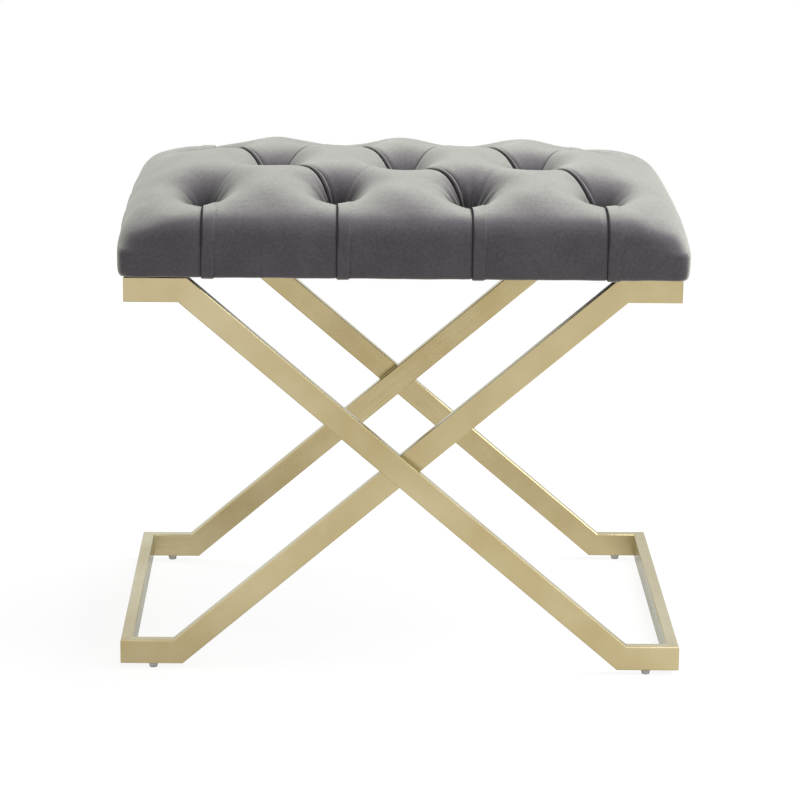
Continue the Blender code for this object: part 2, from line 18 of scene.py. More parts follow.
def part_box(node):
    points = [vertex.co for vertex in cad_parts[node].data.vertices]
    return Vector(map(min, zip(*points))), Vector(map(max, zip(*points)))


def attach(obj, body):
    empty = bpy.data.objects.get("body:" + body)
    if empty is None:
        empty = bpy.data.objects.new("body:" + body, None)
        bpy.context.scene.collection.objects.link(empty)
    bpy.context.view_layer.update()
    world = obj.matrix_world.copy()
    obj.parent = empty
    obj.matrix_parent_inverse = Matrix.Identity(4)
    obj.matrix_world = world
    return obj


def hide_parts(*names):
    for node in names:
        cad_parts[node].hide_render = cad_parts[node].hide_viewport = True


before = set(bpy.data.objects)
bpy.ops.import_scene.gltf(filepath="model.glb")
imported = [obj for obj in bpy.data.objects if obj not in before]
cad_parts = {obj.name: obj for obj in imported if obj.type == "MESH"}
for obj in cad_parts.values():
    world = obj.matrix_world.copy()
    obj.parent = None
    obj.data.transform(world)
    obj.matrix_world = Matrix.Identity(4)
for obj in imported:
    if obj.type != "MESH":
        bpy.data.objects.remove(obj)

scene = bpy.context.scene
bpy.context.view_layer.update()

# %% [markdown]
# The camera stands a long way off with a long lens, which keeps the front and back frames
# nearly the same size. Its place was found by fitting the corners of the tubes in the
# photograph. Turning about Z, then tilting, then rolling is easier to read as a product of
# three plain rotations than as one set of Euler angles.

# %% Camera
CAMERA_PLACE = (-0.06206, -3.54832, 1.13173)
CAMERA_YAW, CAMERA_TILT, CAMERA_ROLL = 0.017749, 0.245256, 0.011864
LENS_IN_PICTURE_WIDTHS = 3322.15 / 800
SENSOR_WIDTH = 36.0

aim = Matrix.Rotation(-CAMERA_YAW, 3, "Z")
aim = aim @ Matrix.Rotation(math.pi / 2 - CAMERA_TILT, 3, "X")
aim = aim @ Matrix.Rotation(CAMERA_ROLL, 3, "Z")
bpy.ops.object.select_all(action="DESELECT")
bpy.ops.object.camera_add(location=CAMERA_PLACE, rotation=aim.to_euler())
camera = bpy.context.object
camera.name = "photo_camera"
camera.data.sensor_width = SENSOR_WIDTH
camera.data.lens = LENS_IN_PICTURE_WIDTHS * SENSOR_WIDTH
camera.data.clip_end = 50
scene.camera = camera
scene.view_settings.view_transform = "Standard"
print(f"camera with a {camera.data.lens:.1f} mm lens")

# %% [markdown]
# Every finish below is a small tree of shader nodes. The helpers keep the cells short: an
# input may be given a plain value, or another node's output, which is then linked to it.

# %% Node helpers
def give(tree, node, values):
    """Set or link the inputs of a node."""
    for name, value in values.items():
        if isinstance(value, bpy.types.NodeSocket):
            tree.links.new(value, node.inputs[name])
        else:
            node.inputs[name].default_value = value


def add_node(tree, kind, values=None, **settings):
    """Add a node with its settings and inputs. Returns its outputs."""
    made = tree.nodes.new(kind)
    for name, value in settings.items():
        setattr(made, name, value)
    give(tree, made, values or {})
    return made.outputs


def calculate(tree, operation, one, other=0.0):
    """The result of a Math node."""
    return add_node(tree, "ShaderNodeMath", {0: one, 1: other}, operation=operation)[0]


def mix_shaders(tree, share, one, other):
    """One shader with a share of another."""
    return add_node(tree, "ShaderNodeMixShader", {0: share, 1: one, 2: other})[0]


def seen_directly(tree, in_mirrors):
    """1 for the camera and through glass, in_mirrors for reflections, 0 for bounced light."""
    path = add_node(tree, "ShaderNodeLightPath")
    straight = calculate(tree, "MAXIMUM", path["Is Camera Ray"], path["Is Transmission Ray"])
    mirrored = calculate(tree, "MULTIPLY", path["Is Glossy Ray"], in_mirrors)
    return calculate(tree, "MAXIMUM", straight, mirrored)


def use_object_place(tree):
    """Coordinates that stay with the object."""
    return add_node(tree, "ShaderNodeTexCoord")["Object"]


print("node helpers ready")

# %% [markdown]
# A product photograph on white is a pale floor in a bright, even room. The background must
# look white without throwing more light on the bench, so the world is white only where the
# camera or a reflection looks straight at it, and much dimmer for the light it gives.

# %% White room
AMBIENT = 0.40
world = bpy.data.worlds.new("white_room")
scene.world = world
world.use_nodes = True
tree = world.node_tree
tree.nodes.clear()
soft = add_node(tree, "ShaderNodeBackground", {"Color": (1, 1, 1, 1), "Strength": AMBIENT})[0]
white = add_node(tree, "ShaderNodeBackground", {"Color": (1, 1, 1, 1), "Strength": 1.0})[0]
room = mix_shaders(tree, seen_directly(tree, 1.0), soft, white)
add_node(tree, "ShaderNodeOutputWorld", {"Surface": room})
print("white room, ambient", AMBIENT)

# %% [markdown]
# The floor is one big plane. Seen directly it is mostly self-lit white with a little
# diffuse, so it stays white and still takes a faint shadow under the feet. For bounced
# light it is plain pale paint, and reflections see some of both. From below it is clear, so
# that the underside can be looked at.

# %% Floor
FLOOR_SIZE = 3.4
FLOOR_GLOW, FLOOR_TAKES_LIGHT, FLOOR_PAINT = 0.88, 0.20, (0.80, 0.78, 0.72)
FLOOR_WHITE_IN_MIRRORS = 0.55
bpy.ops.object.select_all(action="DESELECT")
bpy.ops.mesh.primitive_plane_add(size=FLOOR_SIZE, location=(0, 0, 0))
floor = bpy.context.object
floor.name = "studio_floor"
pale = bpy.data.materials.new("pale_floor")
pale.use_nodes = True
tree = pale.node_tree
tree.nodes.clear()
paint = add_node(tree, "ShaderNodeBsdfDiffuse", {"Color": (*FLOOR_PAINT, 1)})[0]
faint = add_node(tree, "ShaderNodeBsdfDiffuse", {"Color": (FLOOR_TAKES_LIGHT,) * 3 + (1,)})[0]
glow = add_node(tree, "ShaderNodeEmission", {"Color": (1, 1, 1, 1), "Strength": FLOOR_GLOW})[0]
shown = add_node(tree, "ShaderNodeAddShader", {0: faint, 1: glow})[0]
from_above = mix_shaders(tree, seen_directly(tree, FLOOR_WHITE_IN_MIRRORS), paint, shown)
below = add_node(tree, "ShaderNodeNewGeometry")["Backfacing"]
see_through = add_node(tree, "ShaderNodeBsdfTransparent")[0]
surface = mix_shaders(tree, below, from_above, see_through)
add_node(tree, "ShaderNodeOutputMaterial", {"Surface": surface})
floor.data.materials.append(pale)
print("floor", floor.dimensions.x, "m wide")

# %% [markdown]
# One wide softbox hangs over the right half of the seat and a weaker one stands at its right
# end. The light from above is what makes the top of velvet pale while its front face stays
# dark.

# %% Softboxes
SOFTBOXES = (
    ("top_softbox", (0.95, 0.25, 2.3), (0, 0, 0), 2.2, 46),
    ("right_softbox", (2.3, 0.3, 1.7), (0, math.radians(62), math.radians(8)), 1.4, 30),
)
for name, place, turn, size, watts in SOFTBOXES:
    bpy.ops.object.select_all(action="DESELECT")
    bpy.ops.object.light_add(type="AREA", location=place, rotation=turn)
    lamp = bpy.context.object
    lamp.name = name
    lamp.data.size = size
    lamp.data.energy = watts
    print(name, watts, "W")

# %% [markdown]
# Brushed metal and wood share one effect: fine streaks along the length of the piece. It is
# noise stretched along X, so it is built once as a node group and each material turns its
# own coordinates until X runs along the tube or the plank.

# %% Node group: streaks
STREAK_SQUEEZE = (0.03, 1.0, 1.0)


def new_group(name, inputs, outputs):
    """An empty node group with named sockets, and the values it is given."""
    group = bpy.data.node_groups.new(name, "ShaderNodeTree")
    for labels, direction in ((inputs, "INPUT"), (outputs, "OUTPUT")):
        for label in labels:
            kind = "NodeSocketVector" if label == "Vector" else "NodeSocketFloat"
            group.interface.new_socket(label, in_out=direction, socket_type=kind)
    return group, add_node(group, "NodeGroupInput")


def fill_with_noise(group, given, place, roughness, **details):
    """Give each output of a group its own noise, at the scale the group is given."""
    noises = {}
    for label, detail in details.items():
        values = {"Vector": place, "Detail": detail, "Roughness": roughness}
        values["Scale"] = given[f"{label} Scale"]
        noises[label] = add_node(group, "ShaderNodeTexNoise", values)["Fac"]
    add_node(group, "NodeGroupOutput", noises)


inputs = ("Vector", "Fine Scale", "Broad Scale")
streaks, given = new_group("lengthwise_streaks", inputs, ("Fine", "Broad"))
stretch = {0: given["Vector"], 1: STREAK_SQUEEZE}
stretched = add_node(streaks, "ShaderNodeVectorMath", stretch, operation="MULTIPLY")[0]
fill_with_noise(streaks, given, stretched, 0.65, Fine=6.0, Broad=3.0)
print("group:", streaks.name)

# %% [markdown]
# Moulded plastic, zinc and cloth all need a soft unevenness that has no direction. This
# group gives a cloudy value for colour and a fine speckle for bump and roughness.

# %% Node group: clouds and speckle
clouds, given = new_group("clouds_and_speckle", ("Cloud Scale", "Speckle Scale"), ("Cloud", "Speckle"))
fill_with_noise(clouds, given, use_object_place(clouds), 0.6, Cloud=3.0, Speckle=5.0)
print("group:", clouds.name)

# %% [markdown]
# A material starts from the Principled shader. These helpers make one, place a group in it,
# turn a grey value into a colour, a roughness or a bump, and coat the shader with them. Noise
# seldom leaves the middle of its range, so that middle is what they spread out.

# %% Material helpers
NOISE_LOW, NOISE_HIGH = 0.3, 0.7
MIX_A, MIX_B, MIXED = 6, 7, 2


def named(values):
    """Keyword arguments under the names of sockets, which have spaces."""
    return {label.replace("_", " "): value for label, value in values.items()}


def new_finish(name, **values):
    """A material with one Principled shader and its plain values set on its own sockets."""
    made = bpy.data.materials.new(name)
    made.use_nodes = True
    give(made.node_tree, made.node_tree.nodes["Principled BSDF"], named(values))
    return made, made.node_tree


def use_group(tree, group, **values):
    """Place a node group with its values. Returns its outputs."""
    return add_node(tree, "ShaderNodeGroup", named(values), node_tree=group)


def tint(tree, value, dark, light, low=NOISE_LOW, high=NOISE_HIGH):
    """A colour from dark to light as a value goes from low to high."""
    ramp = tree.nodes.new("ShaderNodeValToRGB")
    for stop, place, colour in zip(ramp.color_ramp.elements, (low, high), (dark, light)):
        stop.position = place
        stop.color = (*colour, 1)
    give(tree, ramp, {"Fac": value})
    return ramp.outputs["Color"]


def spread_value(tree, value, low, high):
    """A noise value spread over a range."""
    ends = {"From Min": NOISE_LOW, "From Max": NOISE_HIGH, "To Min": low, "To Max": high}
    return add_node(tree, "ShaderNodeMapRange", {"Value": value, **ends})[0]


def mix_colours(tree, one, other, share=1.0, blend_type="MULTIPLY"):
    """Two colours multiplied, or mixed by a share."""
    values = {"Factor": share, MIX_A: one, MIX_B: other}
    return add_node(tree, "ShaderNodeMix", values, data_type="RGBA", blend_type=blend_type)[MIXED]


def coat(tree, colour, value, strength, distance, **more):
    """Give the shader its colour, and let a value push its surface in and out."""
    push = {"Height": value, "Strength": strength, "Distance": distance}
    relief = add_node(tree, "ShaderNodeBump", push)["Normal"]
    looks = {"Base Color": colour, "Normal": relief, **more}
    give(tree, tree.nodes["Principled BSDF"], looks)


print("material helpers ready")

# %% [markdown]
# The frames are steel tube, plated in a pale champagne gold and brushed along each tube.
# The brushing turns with the tube, so there is one finish for tubes along X, one for those
# along Y and one for each slope of the diagonals. They differ only in how they turn the
# coordinates. Slow clouds vary the colour, the streaks only the gloss and the relief. The
# specular tint is the shader's own way to make plating greyer at grazing angles.

# %% Champagne steel
CHAMPAGNE_DARK = (0.505, 0.400, 0.198)
CHAMPAGNE_LIGHT = (0.640, 0.550, 0.340)
CHAMPAGNE_GRAZING = (0.84, 0.92, 0.99, 1)
CHAMPAGNE_SPREAD, CHAMPAGNE_GLOSS = (0.25, 0.75), (0.19, 0.29)


def champagne(name, turn):
    """Brushed champagne plating, with the brushing turned to run along a tube."""
    made, tree = new_finish(name, Metallic=1.0, Specular_Tint=CHAMPAGNE_GRAZING)
    turned = {"Vector": use_object_place(tree), "Rotation": turn}
    along = add_node(tree, "ShaderNodeMapping", turned, vector_type="TEXTURE")[0]
    grain = use_group(tree, streaks, Vector=along, Fine_Scale=900.0, Broad_Scale=300.0)
    cloud = use_group(tree, clouds, Cloud_Scale=9.0)["Cloud"]
    colour = tint(tree, cloud, CHAMPAGNE_DARK, CHAMPAGNE_LIGHT, *CHAMPAGNE_SPREAD)
    gloss = spread_value(tree, grain["Broad"], *CHAMPAGNE_GLOSS)
    coat(tree, colour, grain["Fine"], strength=0.08, distance=0.0002, Roughness=gloss)
    return made


LEG_SLOPE = math.radians(40.5)
CHAMPAGNE = {
    "arm": champagne("champagne_along_x", (0, 0, 0)),
    "rail": champagne("champagne_along_y", (0, 0, math.pi / 2)),
    "inner": champagne("champagne_rising_right", (0, -LEG_SLOPE, 0)),
    "outer": champagne("champagne_rising_left", (0, LEG_SLOPE, 0)),
}
print("champagne finishes:", len(CHAMPAGNE))

# %% [markdown]
# The small hard pieces: grey translucent plastic for the glides, dull zinc for the bolts,
# washers, T-nuts and staples.

# %% Plastic and zinc
def speckled(name, scales, colours, gloss, bump, **values):
    """A moulded or plated finish: cloudy colour, speckled gloss and relief."""
    made, tree = new_finish(name, **values)
    grain = use_group(tree, clouds, Cloud_Scale=scales[0], Speckle_Scale=scales[1])
    colour, fine = tint(tree, grain["Cloud"], *colours), grain["Speckle"]
    coat(tree, colour, fine, bump, distance=0.0002, Roughness=spread_value(tree, fine, *gloss))
    return made


PLASTIC = ((180.0, 2400.0), ((0.62, 0.63, 0.63), (0.76, 0.77, 0.77)), (0.28, 0.42), 0.08)
ZINC = ((320.0, 3000.0), ((0.44, 0.45, 0.47), (0.62, 0.63, 0.64)), (0.30, 0.48), 0.10)
plastic = speckled("moulded_glide_plastic", *PLASTIC, IOR=1.49, Transmission_Weight=0.45)
zinc = speckled("zinc_plate", *ZINC, Metallic=1.0)
print("finishes:", plastic.name, zinc.name)

# %% [markdown]
# The seat board is birch plywood. Its faces show long grain, which the streak group gives,
# and its edges show the layers, a narrow dark line every millimetre and a half in height.

# %% Plywood
PLY = 0.0015
plywood, tree = new_finish("birch_plywood", Roughness=0.62)
where = use_object_place(tree)
grain = use_group(tree, streaks, Vector=where, Fine_Scale=420.0, Broad_Scale=45.0)
wood = tint(tree, grain["Broad"], (0.44, 0.30, 0.17), (0.66, 0.51, 0.33), 0.3, 0.72)
height = add_node(tree, "ShaderNodeSeparateXYZ", {0: where})["Z"]
layer = calculate(tree, "FRACT", calculate(tree, "MULTIPLY", height, 1 / PLY))
glue = tint(tree, layer, (0.35, 0.30, 0.26), (1, 1, 1), 0.1, 0.2)
coat(tree, mix_colours(tree, wood, glue), grain["Fine"], strength=0.2, distance=0.0004)
print("finish:", plywood.name)

# %% [markdown]
# Waxed twine and black cambric. The twine shows its twist as slanted bands, the cambric a
# fine plain weave made of two sets of waves at right angles.

# %% Twine and cambric
def waves_along(tree, direction, scale, distortion):
    """Bands like those of threads side by side."""
    values = {"Vector": use_object_place(tree), "Scale": scale, "Distortion": distortion}
    return add_node(tree, "ShaderNodeTexWave", values, bands_direction=direction)["Fac"]


twine, tree = new_finish("waxed_twine", Roughness=0.72)
twist = waves_along(tree, "DIAGONAL", 260.0, 1.5)
colour = tint(tree, twist, (0.42, 0.36, 0.26), (0.68, 0.62, 0.49), 0.0, 1.0)
coat(tree, colour, twist, strength=0.4, distance=0.0002)

cambric, tree = new_finish("black_cambric", Roughness=0.95)
threads = [waves_along(tree, direction, 330.0, 0.6) for direction in ("X", "Y")]
woven = calculate(tree, "MULTIPLY", *threads)
colour = tint(tree, woven, (0.010, 0.010, 0.011), (0.035, 0.035, 0.037), 0.0, 1.0)
coat(tree, colour, woven, strength=0.5, distance=0.0003)
print("finishes:", twine.name, cambric.name)

# %% [markdown]
# The CAD pieces that keep their shape now get their finish. Their names say which tube they
# are, so the finish is chosen by name.

# %% Dress the CAD pieces
FINISHES = {"rail": CHAMPAGNE["rail"], "glide": plastic, "board": plywood, "tie": twine}
FINISHES.update({"bolt": zinc, "washer": zinc, "nut": zinc})


def finish_for(name):
    """The finish of a CAD piece, from its name."""
    if "diagonal" in name:
        return CHAMPAGNE[name.split("_")[0]]
    fitting = [finish for word, finish in FINISHES.items() if word in name]
    return fitting[0] if fitting else CHAMPAGNE["arm"]


for name in sorted(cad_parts):
    mesh = bpy.data.objects[name].data
    mesh.materials.clear()
    mesh.materials.append(finish_for(name))
print("dressed", len(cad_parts), "CAD pieces")

# %% [markdown]
# The pieces from here on are modelled with Blender's own operators, which act on whatever is
# selected. So a few helpers select one object alone, open its mesh, join several into one and
# apply a modifier.

# %% Editing helpers
def only(obj):
    """Select one object and make it active."""
    bpy.ops.object.select_all(action="DESELECT")
    obj.select_set(True)
    bpy.context.view_layer.objects.active = obj


def open_mesh(obj, action="SELECT"):
    """Open a mesh for editing, with all of it selected or none."""
    only(obj)
    bpy.ops.object.mode_set(mode="EDIT")
    bpy.ops.mesh.select_all(action=action)


def close_mesh():
    """Stop editing."""
    bpy.ops.object.mode_set(mode="OBJECT")


def new_object(name, mesh):
    """A new object at the origin."""
    made = bpy.data.objects.new(name, mesh)
    scene.collection.objects.link(made)
    return made


def join_as(name, objects):
    """Join several objects into one."""
    only(objects[0])
    for obj in objects:
        obj.select_set(True)
    bpy.ops.object.join()
    objects[0].name = name
    return objects[0]


def apply_modifier(obj, kind, **settings):
    """Add a modifier with its settings and apply it at once."""
    added = obj.modifiers.new(kind.title(), kind)
    for name, value in settings.items():
        setattr(added, name, value)
    only(obj)
    bpy.ops.object.modifier_apply(modifier=added.name)


print("editing helpers ready")

# %% [markdown]
# The tubes meet in mitres that are welded and ground flush. CAD leaves a hair of space at
# each of them, and light would shine through. So every seam gets a fill: the points of both
# tube ends are wrapped in their convex hull, which is quicker and surer than drawing sixteen
# slanted plates, and it is set back a little from the surface.

# %% Weld seams
WELD_REACH, WELD_SHARE = 0.0012, 0.990
TUBE_WORDS = ("arm", "diagonal", "foot", "rail")


def world_points(name):
    """All points of a CAD piece in the room."""
    piece = bpy.data.objects[name]
    return np.array([piece.matrix_world @ point.co for point in piece.data.vertices])


def weld(here, there):
    """The fill between two tube ends, or None where the tubes don't meet."""
    gaps = np.linalg.norm(here[:, None] - there[None], axis=2)
    ends = np.vstack((here[gaps.min(1) < WELD_REACH], there[gaps.min(0) < WELD_REACH]))
    if len(ends) == 0:
        return None
    middle = (ends.min(0) + ends.max(0)) / 2
    fill = new_object("weld", bpy.data.meshes.new("weld"))
    fill.data.from_pydata([tuple(p) for p in middle + (ends - middle) * WELD_SHARE], [], [])
    open_mesh(fill)
    bpy.ops.mesh.convex_hull()
    close_mesh()
    return fill


fills = []
for side in ("inner_", "outer_"):
    names = [n for n in sorted(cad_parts) if n.startswith(side) and n.endswith(TUBE_WORDS)]
    tubes = [world_points(name) for name in names]
    fills += [weld(here, there) for here, there in itertools.combinations(tubes, 2)]
fills = [fill for fill in fills if fill]
welds = join_as("weld_seams", fills)
welds.data.materials.append(CHAMPAGNE["arm"])
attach(welds, "root")
print(len(fills), "weld seams")

# %% [markdown]
# Now the seat. Deep tufting is a sheet of velvet over foam, drawn down at eleven points in
# rows of four, three and four. The spare cloth between the points is folded into pleats:
# straight down the front and back faces, and along the diagonals on top. First come the
# sizes, which repeat those of the CAD seat, and the list of pleats. A fold is a diagonal where
# the cloth lies double. The others are creases at the front and sharper lines at the back.

# %% Seat layout
SEAT_LOW, SEAT_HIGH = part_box("velvet_cover")
SEAT_BOTTOM = SEAT_LOW[2]
RIM_RISE, RIM_INSET_ENDS, RIM_INSET_FACES = 0.0626, 0.0200, 0.0147
CORE_X, CORE_Y = SEAT_HIGH[0] - RIM_INSET_ENDS, SEAT_HIGH[1] - RIM_INSET_FACES
TUFT_PITCH, TUFT_ROW = 0.1388, 0.118
OUTER_TUFTS = [TUFT_PITCH * (i - 1.5) for i in range(4)]
MIDDLE_TUFTS = [TUFT_PITCH * (i - 1) for i in range(3)]
TUFTS = [(x, 0.0) for x in MIDDLE_TUFTS] + [(x, y) for y in (-TUFT_ROW, TUFT_ROW) for x in OUTER_TUFTS]

PLEATS = []
for side in (-1, 1):
    for x in OUTER_TUFTS:
        PLEATS.append(((x, side * TUFT_ROW), (x, side * CORE_Y), "face"))
        for mid in MIDDLE_TUFTS:
            if abs(mid - x) < TUFT_PITCH:
                kind = "fold" if (mid - x) * side > 0 else "crease" if side < 0 else "line"
                PLEATS.append(((x, side * TUFT_ROW), (mid, 0.0), kind))
print(len(TUFTS), "tufts,", len(PLEATS), "pleats")

# %% [markdown]
# To fold cloth sharply along a pleat, the mesh needs edges that run along it, closer together
# near the fold. So the sheet is drawn flat first, as points: lines of points beside each
# pleat, rings round each tuft, and an even scatter elsewhere. Blender's own triangulation
# then joins them, which beats a square grid, whose steps would show along every diagonal.

# %% Points beside the pleats and round the tufts
BESIDE = (0.0010, 0.0024, 0.0045, 0.0075, 0.0115)
ACROSS = [-d for d in reversed(BESIDE)] + [0.0] + list(BESIDE)
TUFT_RING, PLEAT_STARTS = 0.020, 0.024
RING_SHARES = (1.0, 0.8, 0.62, 0.46, 0.32, 0.2, 0.1)
STATION, FILL, RING_STEP = 0.0050, 0.0050, math.radians(11)


def evenly(start, stop, step):
    """Values from start to stop, both included, about step apart."""
    return np.linspace(start, stop, max(1, round(abs(stop - start) / step)) + 1)


def filled(marks, step):
    """Sorted marks with the wide gaps between them divided evenly."""
    out = []
    for low, high in zip(marks, marks[1:]):
        out += list(evenly(low, high, step)[:-1])
    return out + [marks[-1]]


def beside_pleat(start, end, kind):
    """Lines of points along one pleat."""
    start, end = np.array(start), np.array(end)
    length = np.linalg.norm(end - start)
    run = (end - start) / length
    across = np.array((-run[1], run[0]))
    stop = length - PLEAT_STARTS if kind != "face" else length
    stations = evenly(PLEAT_STARTS, stop, STATION)
    if kind == "face":
        stations = stations[:-1]
    return [tuple(start + run * s + across * d) for s in stations for d in ACROSS]


def round_tuft(tuft):
    """Rings of points round one tuft, closest together towards its pleats."""
    angles = []
    for start, end, _ in PLEATS:
        for here, there in ((start, end), (end, start)):
            if math.dist(here, tuft) < 1e-6:
                toward = math.atan2(there[1] - here[1], there[0] - here[0])
                angles += [toward + math.atan(d / PLEAT_STARTS) for d in ACROSS]
    angles = sorted(a % (2 * math.pi) for a in angles)
    angles = filled(angles + [angles[0] + 2 * math.pi], RING_STEP)[:-1]
    x, y = tuft
    rings = [TUFT_RING * share for share in RING_SHARES]
    return [tuft] + [(x + r * math.cos(a), y + r * math.sin(a)) for r in rings for a in angles]


pleat_points = [p for pleat in PLEATS for p in beside_pleat(*pleat)]
tuft_points = [p for tuft in TUFTS for p in round_tuft(tuft)]
print(len(pleat_points), "points beside pleats,", len(tuft_points), "round tufts")

# %% [markdown]
# The rim is where the top turns into the rounded edge. Seen from above it is a rectangle with
# round corners, tight at the board below and fuller at the top, as foam makes them. Every
# outline has the same number of points in the same order, lined up with the pleats, so any
# two outlines can be joined ring to ring.

# %% Outlines of the seat
CORNER_ZONE, CORNER_STEPS, RIM_CORNER = 0.074, 18, 0.052
ENDS_AT_X, ENDS_AT_Y = SEAT_HIGH[0] - CORNER_ZONE, SEAT_HIGH[1] - CORNER_ZONE
MARKS_X = filled(sorted([x + d for x in OUTER_TUFTS for d in ACROSS] + [-ENDS_AT_X, ENDS_AT_X]), FILL)
MARKS_Y = list(evenly(-ENDS_AT_Y, ENDS_AT_Y, FILL))
SIDES = ((1, 0), (0, 1), (-1, 0), (0, -1))


def beside(run, ahead, out):
    """The place so far ahead along a side and so far out from it."""
    return run[0] * ahead + run[1] * out, run[1] * ahead - run[0] * out


def round_corner(share, before, after, radius):
    """A place along a rounded corner: steps back from its two sides, and how far it has turned."""
    lead, bend = before - radius, math.pi / 2 * radius
    go = share * (lead + bend + after - radius)
    if go <= lead:
        return before - go, 0.0, 0.0
    if go >= lead + bend:
        return 0.0, go - lead - bend + radius, math.pi / 2
    turn = (go - lead) / radius
    return radius * (1 - math.sin(turn)), radius * (1 - math.cos(turn)), turn


def outline(inset_ends, inset_faces, radius):
    """Points once round the seat, each with its outward direction."""
    half_x, half_y = SEAT_HIGH[0] - inset_ends, SEAT_HIGH[1] - inset_faces
    points = []
    for number, run in enumerate(SIDES):
        if number % 2 == 0:
            length, reach, marks, end = half_x, half_y, MARKS_X, ENDS_AT_Y
        else:
            length, reach, marks, end = half_y, half_x, MARKS_Y, ENDS_AT_X
        before, after = length - marks[-1], reach - end
        steps = [(mark, reach, 0.0) for mark in marks]
        for k in range(1, CORNER_STEPS):
            back, down, turn = round_corner(k / CORNER_STEPS, before, after, radius)
            steps.append((length - back, reach - down, turn))
        for go, far, turn in steps:
            points.append((beside(run, go, far), beside(run, math.sin(turn), math.cos(turn))))
    return points


rim = outline(RIM_INSET_ENDS, RIM_INSET_FACES, RIM_CORNER)
print(len(rim), "points round the rim")

# %% [markdown]
# Distances to pleats and tufts are needed again and again, for the points, the height and
# the folds. NumPy works them out for all points at once. The distance from a pleat has a
# sign, positive on the side where the spare cloth lies.

# %% Distances
IS_FACE = np.array([[kind == "face"] for *_, kind in PLEATS])
STARTS = np.array([start for start, _, _ in PLEATS])
RUNS = np.array([end for _, end, _ in PLEATS]) - STARTS
LENGTHS = np.hypot(RUNS[:, :1], RUNS[:, 1:])
RUNS = RUNS / LENGTHS
# The direction across each pleat in which its spare cloth lies
SPARE = np.column_stack((-RUNS[:, 1], RUNS[:, 0]))
wanted = np.where(IS_FACE[:, 0], -STARTS[:, 1], 1.0)
SPARE[SPARE[:, 0] * wanted <= 0] *= -1


def step(x, low, high):
    """0 below low, 1 above high, and a smooth rise between."""
    t = np.clip((x - low) / (high - low), 0, 1)
    return t * t * (3 - 2 * t)


def bell(x, width):
    """1 at zero, falling off on both sides in a bell curve."""
    return np.exp(-((x / width) ** 2))


def to_pleats(u, v):
    """Signed distance across and distance along each pleat, as (pleats, points) arrays."""
    du, dv = u - STARTS[:, :1], v - STARTS[:, 1:]
    across = du * SPARE[:, :1] + dv * SPARE[:, 1:]
    return across, du * RUNS[:, :1] + dv * RUNS[:, 1:]


def to_pleat_segments(u, v, reach=0.0):
    """Distance to each pleat as a stretch of line. Face pleats run on past the rim by reach."""
    across, along = to_pleats(u, v)
    ends = LENGTHS + reach * IS_FACE
    past = np.maximum(along - ends, 0) + np.maximum(-along, 0)
    return np.hypot(across, past)


def to_tufts(u, v):
    """Distance to each tuft, as a (tufts, points) array."""
    return np.array([np.hypot(u - x, v - y) for x, y in TUFTS])


def past_corner(u, v):
    """How far a point is past the centre of its rounded corner, along X and along Y."""
    return np.abs(u) - CORE_X + RIM_CORNER, np.abs(v) - CORE_Y + RIM_CORNER


def past_rim(u, v):
    """Distance outside the rim, negative inside it."""
    x, y = past_corner(u, v)
    return np.hypot(np.maximum(x, 0), np.maximum(y, 0)) + np.minimum(np.maximum(x, y), 0) - RIM_CORNER


print("rim", f"{-past_rim(0.0, 0.0):.3f} m from the middle of the seat")

# %% [markdown]
# Between the pleats and the tufts the sheet needs nothing special, so an even scatter in rows
# fills the rest, kept clear of the points placed so far. Triangulation then joins them all.
# It may merge points, so it also tells where each one went, and the rim is found again.

# %% Scatter the rest and join the points into a flat sheet
SCATTER_CLEAR, TUFT_CLEAR = 0.6 * FILL, 0.1 * FILL
TRIANGLES_ONLY, SAME_PLACE = 0, 1e-7
rows = evenly(-CORE_Y, CORE_Y, FILL * math.sqrt(3) / 2)
columns = evenly(-CORE_X, CORE_X, FILL)
u, v = np.meshgrid(columns, rows)
u[1::2] += FILL / 2
u, v = u.ravel(), v.ravel()
clear = past_rim(u, v) < -SCATTER_CLEAR
clear &= to_pleat_segments(u, v).min(0) > BESIDE[-1] + SCATTER_CLEAR
clear &= to_tufts(u, v).min(0) > PLEAT_STARTS + TUFT_CLEAR
drawn = [p for p, _ in rim] + pleat_points + tuft_points + list(zip(u[clear], v[clear]))
joined = delaunay_2d_cdt([Vector(p) for p in drawn], [], [], TRIANGLES_ONLY, SAME_PLACE)
flat_points, _, flat_faces, came_from, _, _ = joined
place_of = {i: new for new, old in enumerate(came_from) for i in old}
rim_places = [place_of[i] for i in range(len(rim))]
flat_u = np.array([p.x for p in flat_points])
flat_v = np.array([p.y for p in flat_points])
print(len(flat_points), "points and", len(flat_faces), "triangles lie flat")

# %% [markdown]
# The height of the padded top starts from the foam: a crown that rises from the rim, with a
# rounded pillow between each two tufts of the outer rows. No two mounds of hand work are the
# same, so each is a little fuller or flatter than its neighbours.

# %% Height of the foam
CROWN_RISE, CROWN_REACH_ENDS, CROWN_REACH_FACES = 0.0288, 0.0327, 0.0525
PILLOW_DEPTH, PILLOW_STARTS, PILLOW_ENDS, PILLOW_GONE = 0.0063, TUFT_ROW - 0.06, 0.168, CORE_Y + 0.004
CORNER_DROP, CORNER_FADE = 0.004, 0.015
MOUND_WIDTH = 0.05
FRONT_MOUNDS, FRONT_AT, FRONT_REACH = (0.0017, -0.0043, -0.0022), -0.085, 0.045
BACK_MOUNDS, BACK_AT, BACK_REACH = (0.0008, 0.0004, 0.0002), 0.15, 0.050


